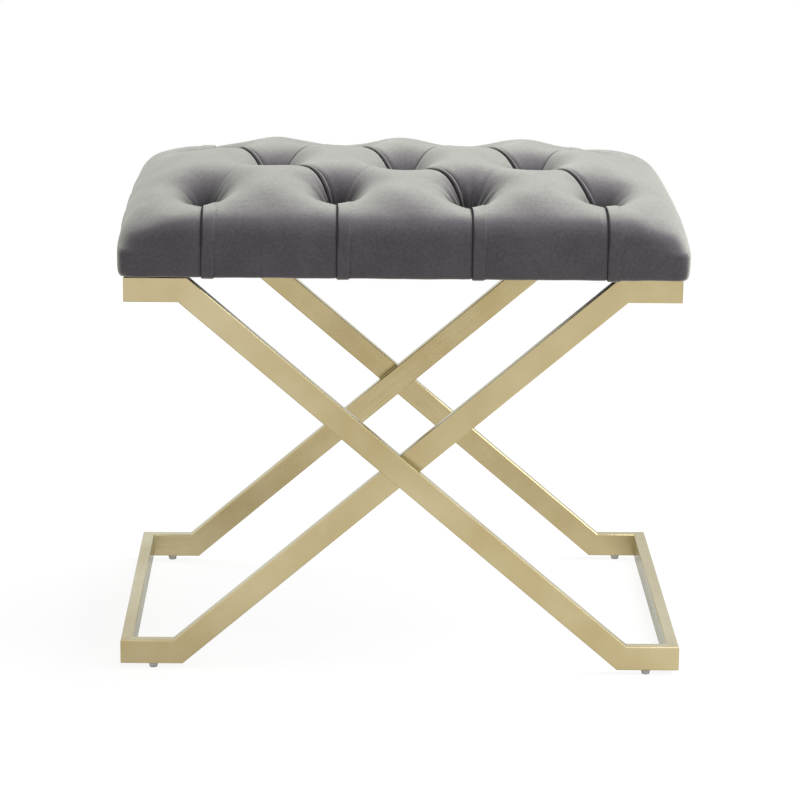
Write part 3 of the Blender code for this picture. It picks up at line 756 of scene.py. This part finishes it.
def foam(u, v):
    """Height of the foam over the bottom before it is tufted: a crown with rounded pillows."""
    rise = 1 - np.exp(-np.maximum(CORE_X - np.abs(u), 0) / CROWN_REACH_ENDS)
    rise = rise * (1 - np.exp(-np.maximum(CORE_Y - np.abs(v), 0) / CROWN_REACH_FACES))
    aside = np.min([np.abs(u - x) for x in OUTER_TUFTS], axis=0)
    between = np.cos(np.pi * np.minimum(aside / TUFT_PITCH, 0.5)) ** 2
    outer = step(np.abs(v), PILLOW_STARTS, TUFT_ROW) * (1 - step(np.abs(v), PILLOW_ENDS, PILLOW_GONE))
    x, y = (np.maximum(far, 0) for far in past_corner(u, v))
    corner = 2 * x * y / np.maximum(x * x + y * y, 1e-9)
    corner = corner * np.exp(np.minimum(past_rim(u, v), 0) / CORNER_FADE)
    return RIM_RISE + CROWN_RISE * rise - PILLOW_DEPTH * between * outer - CORNER_DROP * corner


def mounds(u, v):
    """Small differences between the mounds."""
    out = 0.0
    for x, front, back in zip(MIDDLE_TUFTS, FRONT_MOUNDS, BACK_MOUNDS):
        near = bell(u - x, MOUND_WIDTH)
        out = out + near * front * bell(v - FRONT_AT, FRONT_REACH)
        out = out + near * back * bell(v - BACK_AT, BACK_REACH)
    return out


print("foam rises to", round(float(foam(0.0, 0.0)) * 1000, 1), "mm over the bottom of the seat")

# %% [markdown]
# Each tuft is a wide bowl with a narrow well in it, where the twine pulls, and each pleat is a
# valley. The bowls of the front row reach out to the edge, each a little differently, and
# where two bowls overlap the deeper one counts. Valleys are shallow halfway between two tufts
# and deepen towards them, which gives the saddles between the mounds.

# %% Bowls, wells and valleys
BOWL_FLOOR_OUTER, BOWL_FLOOR_MIDDLE = 0.0510, 0.0573
BOWL_WIDTH, BOWL_MIDDLE_REACH, BOWL_BACK_REACH = 0.0290, 0.0382, 0.0275
BOWL_INWARD, BOWL_INWARD_CORNER = 0.0260, 0.0370
BOWL_FRONT_REACH = (0.0401, 0.0363, 0.0420, 0.0348)
WELL_DEPTH, WELL_RADIUS = 0.013, 0.012
VALLEY_WIDTH = 0.011
# Depth of a valley at its tufts and halfway between them
VALLEYS = {
    "face": (0.001, 0.0),
    "fold": (0.004, 0.0015),
    "crease": (0.0012, 0.0),
    "line": (0.002, 0.0005),
}


def bowls(u, v):
    """Depth of the widest hollow at each point. Outer bowls reach further to the front edge."""
    deepest = np.zeros_like(u)
    front_reach = dict(zip(OUTER_TUFTS, BOWL_FRONT_REACH))
    for x, y in TUFTS:
        if y == 0:
            bottom, reach = BOWL_FLOOR_MIDDLE, BOWL_MIDDLE_REACH
        else:
            bottom = BOWL_FLOOR_OUTER
            to_edge = front_reach[x] if y < 0 else BOWL_BACK_REACH
            inward = BOWL_INWARD_CORNER if abs(x) > TUFT_PITCH else BOWL_INWARD
            reach = np.where((v - y) * y > 0, to_edge, inward)
        shape = np.exp(-(((u - x) / BOWL_WIDTH) ** 2) - ((v - y) / reach) ** 2)
        deepest = np.maximum(deepest, (foam(x, y) - bottom) * shape)
    return deepest


def pad_height(u, v):
    """Height of the velvet over the flat sheet."""
    share = np.clip(to_pleats(u, v)[1] / LENGTHS, 0, 1)
    at_tuft = np.array([[VALLEYS[kind][0]] for *_, kind in PLEATS])
    away = np.array([[VALLEYS[kind][1]] for *_, kind in PLEATS])
    depth = away + (at_tuft - away) * np.where(IS_FACE, (1 - share) ** 2, (2 * share - 1) ** 2)
    valleys = depth * np.exp(-to_pleat_segments(u, v) / VALLEY_WIDTH)
    near = to_tufts(u, v)
    valley = (valleys**4).sum(0) ** 0.25 * (1 - bell(near.min(0), WELL_RADIUS))
    well = (WELL_DEPTH * bell(near, WELL_RADIUS)).max(0)
    return SEAT_BOTTOM + foam(u, v) + mounds(u, v) - valley - bowls(u, v) - well


top_z = pad_height(flat_u, flat_v)
print(f"top from {top_z.min():.4f} to {top_z.max():.4f} m")

# %% [markdown]
# Below the rim the velvet rolls over the edge, bulges, tucks in at the bottom and folds under
# the board. That section is a short list of insets and heights, swept once round the rim.
# The last rings go back up inside, round the board, and close the form under the foam.

# %% Section of the edge
BOARD_LOW, BOARD_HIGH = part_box("seat_board")
CLEAR = 0.0003
INSIDE, OVER_BOARD = BOARD_LOW[2] - SEAT_BOTTOM - CLEAR, BOARD_HIGH[2] - SEAT_BOTTOM + CLEAR
BESIDE_BOARD = (SEAT_HIGH[0] - BOARD_HIGH[0] - CLEAR, SEAT_HIGH[1] - BOARD_HIGH[1] - CLEAR)
# Height over the bottom, inset at the ends, inset at the faces, radius of the corners
EDGE_SECTION = (
    (0.0606, 0.0179, 0.0119, 0.0489),
    (0.0585, 0.0157, 0.0094, 0.0456),
    (0.0564, 0.0136, 0.0071, 0.0423),
    (0.0542, 0.0117, 0.0052, 0.0388),
    (0.0519, 0.0098, 0.0036, 0.0352),
    (0.0496, 0.0081, 0.0023, 0.0316),
    (0.0472, 0.0065, 0.0013, 0.0278),
    (0.0448, 0.0050, 0.0006, 0.0240),
    (0.0424, 0.0038, 0.0003, 0.0203),
    (0.0398, 0.0026, 0.0001, 0.0165),
    (0.0372, 0.0017, 0.0000, 0.0138),
    (0.0345, 0.0010, 0.0000, 0.0122),
    (0.0280, 0.0003, 0.0000, 0.0108),
    (0.0200, 0.0000, 0.0000, 0.0095),
    (0.0110, 0.0002, 0.0002, 0.0088),
    (0.0040, 0.0008, 0.0008, 0.0082),
    (0.0002, 0.0020, 0.0020, 0.0080),
    (-0.0009, 0.0038, 0.0038, 0.0080),
    (0.0000, 0.0066, 0.0066, 0.0075),
    (0.0000, 0.0120, 0.0120, 0.0060),
    (0.0000, 0.0192, 0.0192, 0.0030),
)
ROUND_THE_BOARD = (
    (INSIDE, 0.0194, 0.0194, 0.0030),
    (INSIDE, *BESIDE_BOARD, 0.0090),
    (OVER_BOARD, *BESIDE_BOARD, 0.0090),
)
print("edge of", len(EDGE_SECTION) + len(ROUND_THE_BOARD), "rings")

# %% [markdown]
# Each row of the list becomes a ring of points, joined to the ring above it by quads. Every
# point also keeps its place on the flat sheet, in two attributes of the mesh, because that is
# where the folds are drawn later.

# %% Closed skin of the seat
BARREL, CORNERS_IN, BARREL_STARTS, BARREL_FULL = 0.0037, 0.0018, 0.20, 0.28
DROP_STARTS = 0.030


def bulge_ends(x, y):
    """Let the ends of the seat stand out in the middle and draw in at the corners."""
    out = BARREL * (1 - (y / SEAT_HIGH[1]) ** 2) - CORNERS_IN
    return x + math.copysign(1, x) * step(abs(x), BARREL_STARTS, BARREL_FULL) * out, y


points = [(*bulge_ends(x, y), z) for x, y, z in zip(flat_u, flat_v, top_z)]
sheet_uv = list(zip(flat_u, flat_v))
faces = [tuple(f) for f in flat_faces]
above, below_rim, last = rim_places, 0.0, (RIM_RISE, RIM_INSET_FACES)
for number, (height, inset_ends, inset_faces, corner) in enumerate(EDGE_SECTION + ROUND_THE_BOARD):
    below_rim += math.dist((height, inset_faces), last)
    last = (height, inset_faces)
    ring = range(len(points), len(points) + len(rim))
    for (x, y), out in outline(inset_ends, inset_faces, corner):
        if number < len(EDGE_SECTION):
            x, y = bulge_ends(x, y)
        drop = CORNER_DROP * 2 * abs(out[0] * out[1]) * step(height, DROP_STARTS, RIM_RISE)
        points.append((x, y, SEAT_BOTTOM + height - drop))
    sheet_uv += [(x + out[0] * below_rim, y + out[1] * below_rim) for (x, y), out in rim]
    for i in range(len(ring)):
        j = (i + 1) % len(ring)
        faces.append((above[i], ring[i], ring[j], above[j]))
    above = ring

velvet_mesh = bpy.data.meshes.new("velvet_seat")
velvet_mesh.from_pydata(points, [], faces)
for label, column in (("sheet_u", 0), ("sheet_v", 1)):
    values = velvet_mesh.attributes.new(label, "FLOAT", "POINT")
    values.data.foreach_set("value", [uv[column] for uv in sheet_uv])
seat = new_object("velvet_seat", velvet_mesh)
print("skin of", len(points), "points and", len(faces), "faces")

# %% [markdown]
# Most triangles pair up into quads, which subdivide more evenly.

# %% Pair triangles into quads
PAIR_ANGLE = math.radians(60)
open_mesh(seat)
bpy.ops.mesh.tris_convert_to_quads(face_threshold=PAIR_ANGLE, shape_threshold=PAIR_ANGLE)
close_mesh()
print("faces after pairing:", len(velvet_mesh.polygons))

# %% [markdown]
# Foam pushes the velvet out wherever nothing holds it. A short cloth simulation does that
# better than a formula: the pleats, the pits and the lower edge are pinned, air pressure
# stands for the foam, and gravity is off. Each point may move only so far, because the sheet
# has to stay on its foam.

# %% Let the foam push the velvet out
CLOTH = {"mass": 0.002, "use_pressure": True, "uniform_pressure_force": 260.0}
CLOTH.update({"quality": 6, "bending_stiffness": 0.4, "vertex_group_mass": "held"})
SIM_FRAMES, MOST_MOVE, MOVE_FADES = 20, 0.0018, 0.05
PIN_BESIDE, PIN_PIT, PIN_BELOW, PAST_RIM = 0.0030, 0.0075, 0.055, 1.0


def read(mesh, name):
    """One float attribute of a mesh as an array."""
    values = np.empty(len(mesh.vertices), dtype=np.float32)
    mesh.attributes[name].data.foreach_get("value", values)
    return values.astype(float)


def positions(mesh):
    """All points of a mesh as an array."""
    values = np.empty(len(mesh.vertices) * 3, dtype=np.float32)
    mesh.vertices.foreach_get("co", values)
    return values.reshape(-1, 3).astype(float)


def place_points(mesh, places):
    """Put all points of a mesh in new places."""
    mesh.vertices.foreach_set("co", places.astype(np.float32).ravel())
    mesh.update()


def swell(obj):
    """Run the cloth, apply it and cap the movement. Returns the largest movement."""
    mesh = obj.data
    before = positions(mesh)
    u, v = read(mesh, "sheet_u"), read(mesh, "sheet_v")
    sewn = np.array([kind in ("face", "fold") for *_, kind in PLEATS])
    held = to_pleat_segments(u, v, PAST_RIM)[sewn].min(0) < PIN_BESIDE
    held |= to_tufts(u, v).min(0) < PIN_PIT
    held |= before[:, 2] < SEAT_BOTTOM + PIN_BELOW
    obj.vertex_groups.new(name="held").add([int(i) for i in np.flatnonzero(held)], 1.0, "REPLACE")
    cloth = obj.modifiers.new("Cloth", "CLOTH")
    for name, value in CLOTH.items():
        setattr(cloth.settings, name, value)
    cloth.settings.effector_weights.gravity = 0
    cloth.collision_settings.use_collision = False
    cloth.point_cache.frame_start = 1
    cloth.point_cache.frame_end = SIM_FRAMES
    for number in range(1, SIM_FRAMES + 1):
        scene.frame_set(number)
    only(obj)
    bpy.ops.object.modifier_apply(modifier="Cloth")
    move = positions(mesh) - before
    size = np.linalg.norm(move, axis=1)
    kept = np.minimum(1, MOST_MOVE / np.maximum(size, 1e-9)) * step(-past_rim(u, v), 0.0, MOVE_FADES)
    place_points(mesh, before + move * kept[:, None])
    obj.vertex_groups.clear()
    scene.frame_set(1)
    return size


moved = swell(seat)
print(f"velvet moved {moved.mean() * 1000:.2f} mm on average, {moved.max() * 1000:.1f} mm at most")

# %% [markdown]
# One level of subdivision makes the mesh fine enough for folds a millimetre wide. The open
# edge round the board is then filled with one face, which makes the seat a closed form.

# %% Smooth the skin and close it under the foam
apply_modifier(seat, "SUBSURF", levels=1, render_levels=1)
open_mesh(seat, "DESELECT")
bpy.ops.mesh.select_mode(type="EDGE")
bpy.ops.mesh.select_non_manifold()
bpy.ops.mesh.edge_face_add()
close_mesh()
print("faces after subdivision:", len(seat.data.polygons))

# %% [markdown]
# The rim is only a line on the drawing. On the real seat nothing marks it, because foam rolls
# over its edge in one curve. Smoothing takes the last trace of it away. It works in bands that
# grow narrower towards the rim, because one wide band would leave a new line at its own edge.

# %% Ease the rolled edge
# How far inside the rim, outside it and clear of the tufts, rounds of smoothing, and where
EASE = (
    (0.062, 0.042, 0.058, 8, "all round"),
    (0.050, 0.038, 0.052, 8, "all round"),
    (0.038, 0.034, 0.046, 8, "all round"),
    (0.026, 0.030, 0.040, 8, "all round"),
    (0.050, 0.040, 0.046, 75, "corners"),
    (0.056, 0.038, 0.054, 8, "faces"),
    (0.046, 0.036, 0.050, 8, "faces"),
    (0.036, 0.034, 0.046, 10, "faces"),
    (0.026, 0.032, 0.042, 12, "faces"),
    (0.016, 0.030, 0.040, 12, "faces"),
)
CORNER_EASE = 0.075


def smooth_points(obj, chosen, rounds):
    """Smooth the chosen points of a mesh and leave the others where they are."""
    open_mesh(obj, "DESELECT")
    bpy.ops.mesh.select_mode(type="VERT")
    close_mesh()
    obj.data.vertices.foreach_set("select", chosen)
    bpy.ops.object.mode_set(mode="EDIT")
    bpy.ops.mesh.vertices_smooth(factor=0.5, repeat=rounds)
    close_mesh()


u, v = read(seat.data, "sheet_u"), read(seat.data, "sheet_v")
over, from_tufts = past_rim(u, v), to_tufts(u, v).min(0)
near_end, near_face = np.abs(u) > CORE_X - CORNER_EASE, np.abs(v) > CORE_Y - CORNER_EASE
places = {
    "all round": near_end | near_face,
    "corners": near_end & near_face,
    "faces": near_face & ~near_end,
}
for inside, beyond, clear, rounds, where in EASE:
    in_band = (over > -inside) & (over < beyond) & (from_tufts > clear)
    smooth_points(seat, in_band & places[where], rounds)
print(int(in_band.sum()), "points eased along the edge")

# %% [markdown]
# Next, the folds themselves. A pleat is cloth doubled over: a narrow groove at the folded
# edge, then a band that stands a little proud where the cloth lies twice, ending in a soft
# step. The diagonals that lean left carry such a band, those that lean right are single
# creases, sharper at the back than at the front.

# %% Shape of one fold
FACE_BAND, FOLD_BAND = 0.0135, 0.0050
FACE_LINE, FOLD_LINE = 0.0009, 0.0011
FACE_GROOVE, FOLD_GROOVE = 0.0007, 0.0022
BAND_PROUD, OVERLAP = 0.0012, 0.0005
EDGE_RISES, BAND_FADES = 0.0008, 0.0010
ROLL_IN, ROLL_WIDTH = 0.0005, 0.003
LAP_RISES, LAP_ENDS = 0.0005, 0.0040
CREASE, CREASE_WIDTH = 0.0003, 0.0022
# How dark the painted shade lines are: soft and sharp creases, face pleats, and the second line at a
# band's end
SOFT_DARK, SHARP_DARK, FACE_DARK = 0.2, 0.6, 0.75
FACE_SECOND, FOLD_SECOND, LINE_SHIFT = 0.45, 0.8, 0.3


def doubled(d, band, width, groove, second):
    """A doubled pleat at distance d: how far it stands out and laps over, and its painted shadow
    lines.
    """
    line = bell(d - LINE_SHIFT * width, width)
    end = bell(d - band, width)
    proud = BAND_PROUD * step(d, 0.0, EDGE_RISES) * (1 - step(d, band - BAND_FADES, band + BAND_FADES))
    roll = -ROLL_IN * np.exp(-np.abs(d) / ROLL_WIDTH) * (d < 0)
    lap = -OVERLAP * step(d, 0.0, LAP_RISES) * (1 - step(d, LAP_RISES, LAP_ENDS))
    return proud + roll - groove * (line + second * end), lap, np.maximum(line, second * end)


def single(d, sharp):
    """A soft or a sharp crease at distance d, in the same terms."""
    relief = -CREASE * (1 + sharp) * np.exp(-np.abs(d) / CREASE_WIDTH)
    return relief, 0 * d, (SHARP_DARK if sharp else SOFT_DARK) * bell(d, FACE_LINE)


print(f"bands of {FACE_BAND * 1000:.1f} and {FOLD_BAND * 1000:.1f} mm")

# %% [markdown]
# Every point now moves along its own normal, by an amount that depends only on its place on
# the flat sheet. Folds grow narrow towards a pit and fade in it, those of the back face are
# weaker, and under the board there are none.

# %% Fold the pleats
NARROWEST, FOLD_FADES, FOLD_REACH = 0.2, (0.002, 0.010), 0.03
AT_BACK, BACK_FADES, UNDERSIDE = 0.4, 0.05, (0.078, 0.088)


def fold_all(u, v):
    """Relief, sideways lap and shadow lines of all pleats over the sheet."""
    across, along = to_pleats(u, v)
    near = to_tufts(u, v).min(0)
    narrow = np.clip(near / PLEAT_STARTS, NARROWEST, 1)
    fade = step(near, *FOLD_FADES)
    at_back = AT_BACK + (1 - AT_BACK) * step(past_rim(u, v), -BACK_FADES, 0.0)
    relief, shade, lap = np.zeros_like(u), np.zeros_like(u), np.zeros((len(u), 2))
    for k, (_, _, kind) in enumerate(PLEATS):
        end = LENGTHS[k] + PAST_RIM * IS_FACE[k]
        here = (along[k] > 0) & (along[k] < end) & (np.abs(across[k]) < FOLD_REACH)
        d = across[k] / narrow
        if kind in ("crease", "line"):
            out, over, dark = single(d, kind == "line")
        elif kind == "fold":
            out, over, dark = doubled(d, FOLD_BAND, FOLD_LINE, FOLD_GROOVE, FOLD_SECOND)
        else:
            out, over, dark = doubled(d, FACE_BAND, FACE_LINE, FACE_GROOVE, FACE_SECOND)
            dark = FACE_DARK * dark
        if kind == "face" and PLEATS[k][0][1] > 0:
            out, dark = out * at_back, dark * at_back
        relief += np.where(here, out * fade, 0)
        shade = np.maximum(shade, np.where(here, dark, 0))
        lap += np.where(here, over * fade * narrow, 0)[:, None] * SPARE[k]
    return relief, lap, shade


def move_along_normals(mesh, amount):
    """Push every point along its normal."""
    normals = np.empty(len(mesh.vertices) * 3, dtype=np.float32)
    mesh.vertex_normals.foreach_get("vector", normals)
    place_points(mesh, positions(mesh) + normals.reshape(-1, 3) * amount[:, None])


mesh = seat.data
u, v = read(mesh, "sheet_u"), read(mesh, "sheet_v")
relief, lap, shade = fold_all(u, v)
outside = 1 - step(past_rim(u, v), *UNDERSIDE)
move_along_normals(mesh, relief * outside)
lapped = positions(mesh)
lapped[:, :2] += lap * outside[:, None]
place_points(mesh, lapped)
print(f"folds from {relief.min() * 1000:.1f} to {relief.max() * 1000:.1f} mm")

# %% [markdown]
# Where the twine draws the velvet down, the spare cloth gathers in small wrinkles that run
# out from the pit, most of all at one front tuft. Hand-stretched cloth is never quite even
# either. Both are gentle waves, and the few free numbers in them only set where they fall.

# %% Wrinkles
WRINKLE, GATHER_STARTS, GATHER_ENDS = 0.0002, (0.006, 0.014), (0.016, 0.042)
# Share of the height, waves once round a pit, shift from one tuft to the next
WAVES = ((1.0, 15, 1.7), (0.6, 11, 2.9))
TIGHT_TUFT, TIGHTER = TUFTS.index((OUTER_TUFTS[2], -TUFT_ROW)), 3.0
UNEVEN, FINELY_UNEVEN = 0.0004, 0.0001
near = to_tufts(u, v)
nearest, radius = near.argmin(0), near.min(0)
centre = np.array(TUFTS)[nearest]
turn = np.arctan2(v - centre[:, 1], u - centre[:, 0])
waves = sum(share * np.sin(count * turn + shift * nearest) for share, count, shift in WAVES)
gather = WRINKLE * np.where(nearest == TIGHT_TUFT, TIGHTER, 1.0) * waves
gather *= step(radius, *GATHER_STARTS) * (1 - step(radius, *GATHER_ENDS))
uneven = UNEVEN * np.sin(61 * u + 0.8) * np.sin(74 * v + 2.1)
uneven += FINELY_UNEVEN * np.sin(143 * u + 97 * v)
move_along_normals(mesh, (gather + uneven) * outside)
print(f"wrinkles up to {np.abs(gather).max() * 1000:.2f} mm")

# %% [markdown]
# The material needs to know where the pleats and pits are, so their painted shade is stored on
# the mesh as an attribute: dark lines along the pleats and a darkening of each pit. It travels
# with the cloth, unlike a pattern laid over it.

# %% Store the painted shade of pleats and pits
# Painted shade in the pits: darkest near the well, fading out across the bowl
PIT_PAINTED_SHADE, PIT_EDGE = 0.92, (0.008, 0.037)
pits = PIT_PAINTED_SHADE * (1 - step(radius, *PIT_EDGE))
lines = mesh.attributes.new("pleat_shade", "FLOAT", "POINT")
lines.data.foreach_set("value", np.maximum(shade * outside, pits).astype(np.float32))
mesh.polygons.foreach_set("use_smooth", [True] * len(mesh.polygons))
mesh.update()
print("stored shadow lines for", len(mesh.vertices), "points")

# %% [markdown]
# Velvet has a dark ground and pale tips. Its short pile stands up, so one looks into the ground
# where the cloth faces the eye and along the tips where it turns away. Layer Weight mixes the
# two colours by that angle, and the Principled shader's sheen adds the soft glow that pile has
# on top. Clouds show where the pile leans differently, and a fine speckle is the pile itself.
# The stored lines are painted shade: they darken the colour in the pleat grooves, where the
# pile also parts, and in the pits.

# %% Velvet
GROUND = ((0.106, 0.096, 0.113), (0.128, 0.116, 0.136))
TIPS = ((0.300, 0.300, 0.282), (0.340, 0.340, 0.320))
# The second colour is painted shade, for the pleat lines and the pits
PILE, PAINTED_SHADE_TONE = ((0.80,) * 3, (1.14,) * 3), (0.012, 0.011, 0.012, 1)
TURNED_AWAY = {"From Min": 0.20, "From Max": 0.72}
velvet, tree = new_finish(
    "grey_velvet",
    Roughness=0.85,
    Sheen_Weight=0.7,
    Sheen_Roughness=0.5,
    Sheen_Tint=(0.96, 0.96, 0.90, 1),
    Specular_IOR_Level=0.1,
)
nap = use_group(tree, clouds, Cloud_Scale=26.0, Speckle_Scale=330.0)
facing = add_node(tree, "ShaderNodeLayerWeight", {"Blend": 0.5})["Facing"]
turning = {"Value": facing, **TURNED_AWAY}
away = add_node(tree, "ShaderNodeMapRange", turning, interpolation_type="SMOOTHSTEP")[0]
ground, tips = tint(tree, nap["Cloud"], *GROUND), tint(tree, nap["Cloud"], *TIPS)
cloth_colour = mix_colours(tree, ground, tips, away, "MIX")
napped = mix_colours(tree, cloth_colour, tint(tree, nap["Speckle"], *PILE))
# Painted shade: the stored attribute darkens the pleat lines and the pits
painted_shade = add_node(tree, "ShaderNodeAttribute", attribute_name="pleat_shade")["Fac"]
colour = mix_colours(tree, napped, PAINTED_SHADE_TONE, painted_shade, "MIX")
coat(tree, colour, nap["Speckle"], strength=0.25, distance=0.0006)
mesh.materials.append(velvet)
print("finish:", velvet.name)

# %% [markdown]
# In the lines of the pleats the groove lies in shade, and the pile parts so that the bare ground
# of the cloth shows. A second finish on the same mesh paints that shade and ground, dark and
# without sheen, for the faces that lie in such a line.

# %% Painted shade and bare ground in the pleats
# Painted shade: a dark finish without sheen for the pleat lines, partly the bare ground where the pile
# parts
SHADED_GROUND_TONES, SHADED_FROM = ((0.050, 0.046, 0.051), (0.078, 0.072, 0.080)), 0.5
shaded_ground_cloth, tree = new_finish("velvet_ground_painted_shade", Roughness=1.0, Specular_IOR_Level=0.0)
weave = use_group(tree, clouds, Speckle_Scale=1400.0)["Speckle"]
coat(tree, tint(tree, weave, *SHADED_GROUND_TONES), weave, strength=0.3, distance=0.0004)
mesh.materials.append(shaded_ground_cloth)
for face in mesh.polygons:
    in_line = shade[list(face.vertices)].mean() > SHADED_FROM
    face.material_index = int(in_line and outside[face.vertices[0]] > 0.5)
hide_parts("velvet_cover", "foam_pad")
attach(seat, "root")
print("velvet on", seat.name)

# %% [markdown]
# Under the board, black cambric keeps the dust out. It is one stretched sheet with a turned
# edge, and it hangs a few millimetres lower in the middle. A grid primitive is the natural
# start: it is moved to its height, sagged in code, and given its thickness by Solidify.

# %% Dust cover
CAMBRIC_LOW, CAMBRIC_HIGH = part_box("dust_cover")
CAMBRIC_SAG, CAMBRIC_RIPPLE, CELLS_X, CELLS_Y = 0.003, 0.15, 70, 52
half_x, half_y = CAMBRIC_HIGH[:2]
bpy.ops.object.select_all(action="DESELECT")
bpy.ops.mesh.primitive_grid_add(x_subdivisions=CELLS_X, y_subdivisions=CELLS_Y, size=2)
dust_sheet = bpy.context.object
dust_sheet.name = "dust_sheet"
places = positions(dust_sheet.data)
across_x, across_y = places[:, 0], places[:, 1]
slack = np.clip((1 - np.abs(across_x) ** 4) * (1 - np.abs(across_y) ** 4), 0, 1) ** 2
ripple = CAMBRIC_RIPPLE * np.sin(17 * across_x + 3 * across_y) * np.sin(11 * across_y)
height = CAMBRIC_HIGH[2] - CAMBRIC_SAG * slack * (1 + ripple)
place_points(dust_sheet.data, np.column_stack((across_x * half_x, across_y * half_y, height)))
apply_modifier(dust_sheet, "SOLIDIFY", thickness=CAMBRIC_HIGH[2] - CAMBRIC_LOW[2], offset=-1)
bpy.ops.object.shade_smooth_by_angle(angle=math.radians(30))
dust_sheet.data.materials.append(cambric)
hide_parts("dust_cover")
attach(dust_sheet, "root")
print(f"dust sheet {2 * half_x:.3f} x {2 * half_y:.3f} m")

# %% [markdown]
# Staples hold the cambric. One staple is a flat bar with its two ends turned up into the
# board. It is modelled once, by extruding the ends of a thin box, and copied round the edge
# wherever no tube lies against the sheet.

# %% One staple
STAPLE_CROWN, STAPLE_WIDTH, STAPLE_WIRE, STAPLE_LEG = 0.0100, 0.0011, 0.0005, 0.0060
STAPLE_ROUNDING, LEG_FROM = 0.00012, STAPLE_CROWN / 2 - STAPLE_WIRE
bpy.ops.object.select_all(action="DESELECT")
bpy.ops.mesh.primitive_cube_add(size=1)
staple = bpy.context.object
staple.scale = (STAPLE_CROWN, STAPLE_WIDTH, STAPLE_WIRE)
bpy.ops.object.transform_apply(scale=True)
for cut in (LEG_FROM, -LEG_FROM):
    open_mesh(staple)
    bpy.ops.mesh.bisect(plane_co=(cut, 0, 0), plane_no=(1, 0, 0))
    close_mesh()
open_mesh(staple, "DESELECT")
bpy.ops.mesh.select_mode(type="FACE")
close_mesh()
for face in staple.data.polygons:
    face.select = face.normal.z > 0.9 and abs(face.center.x) > LEG_FROM
bpy.ops.object.mode_set(mode="EDIT")
bpy.ops.mesh.extrude_faces_move(TRANSFORM_OT_shrink_fatten={"value": STAPLE_LEG})
close_mesh()
apply_modifier(staple, "BEVEL", width=STAPLE_ROUNDING, segments=1)
print("staple of", len(staple.data.polygons), "faces")

# %% [markdown]
# The copies stand in four rows. Each is turned a little, because nobody staples in a perfect
# line, and all of them are joined into one piece whose origin is the bench's own.

# %% Staples round the sheet
STAPLE_INSET, STAPLE_PITCH, STAPLE_WOBBLE = 0.006, 0.034, math.radians(4)
ALONG_X, ALONG_Y = evenly(-0.204, 0.204, STAPLE_PITCH), evenly(-0.136, 0.136, STAPLE_PITCH)
staple_z = CAMBRIC_LOW[2] - STAPLE_WIRE / 2
spots = [(x, s * (half_y - STAPLE_INSET), 0.0) for s in (-1, 1) for x in ALONG_X]
spots += [(s * (half_x - STAPLE_INSET), y, math.pi / 2) for s in (-1, 1) for y in ALONG_Y]
copies = []
for number, (x, y, angle) in enumerate(spots):
    copy = new_object("staple_copy", staple.data.copy())
    turned = Matrix.Rotation(angle + STAPLE_WOBBLE * math.sin(5.3 * number), 4, "Z")
    copy.matrix_world = Matrix.Translation((x, y, staple_z)) @ turned
    copies.append(copy)
bpy.data.objects.remove(staple)
staples = join_as("dust_sheet_staples", copies)
bpy.ops.object.transform_apply(location=True, rotation=True, scale=True)
staples.data.materials.clear()
staples.data.materials.append(zinc)
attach(staples, "root")
print(len(spots), "staples")
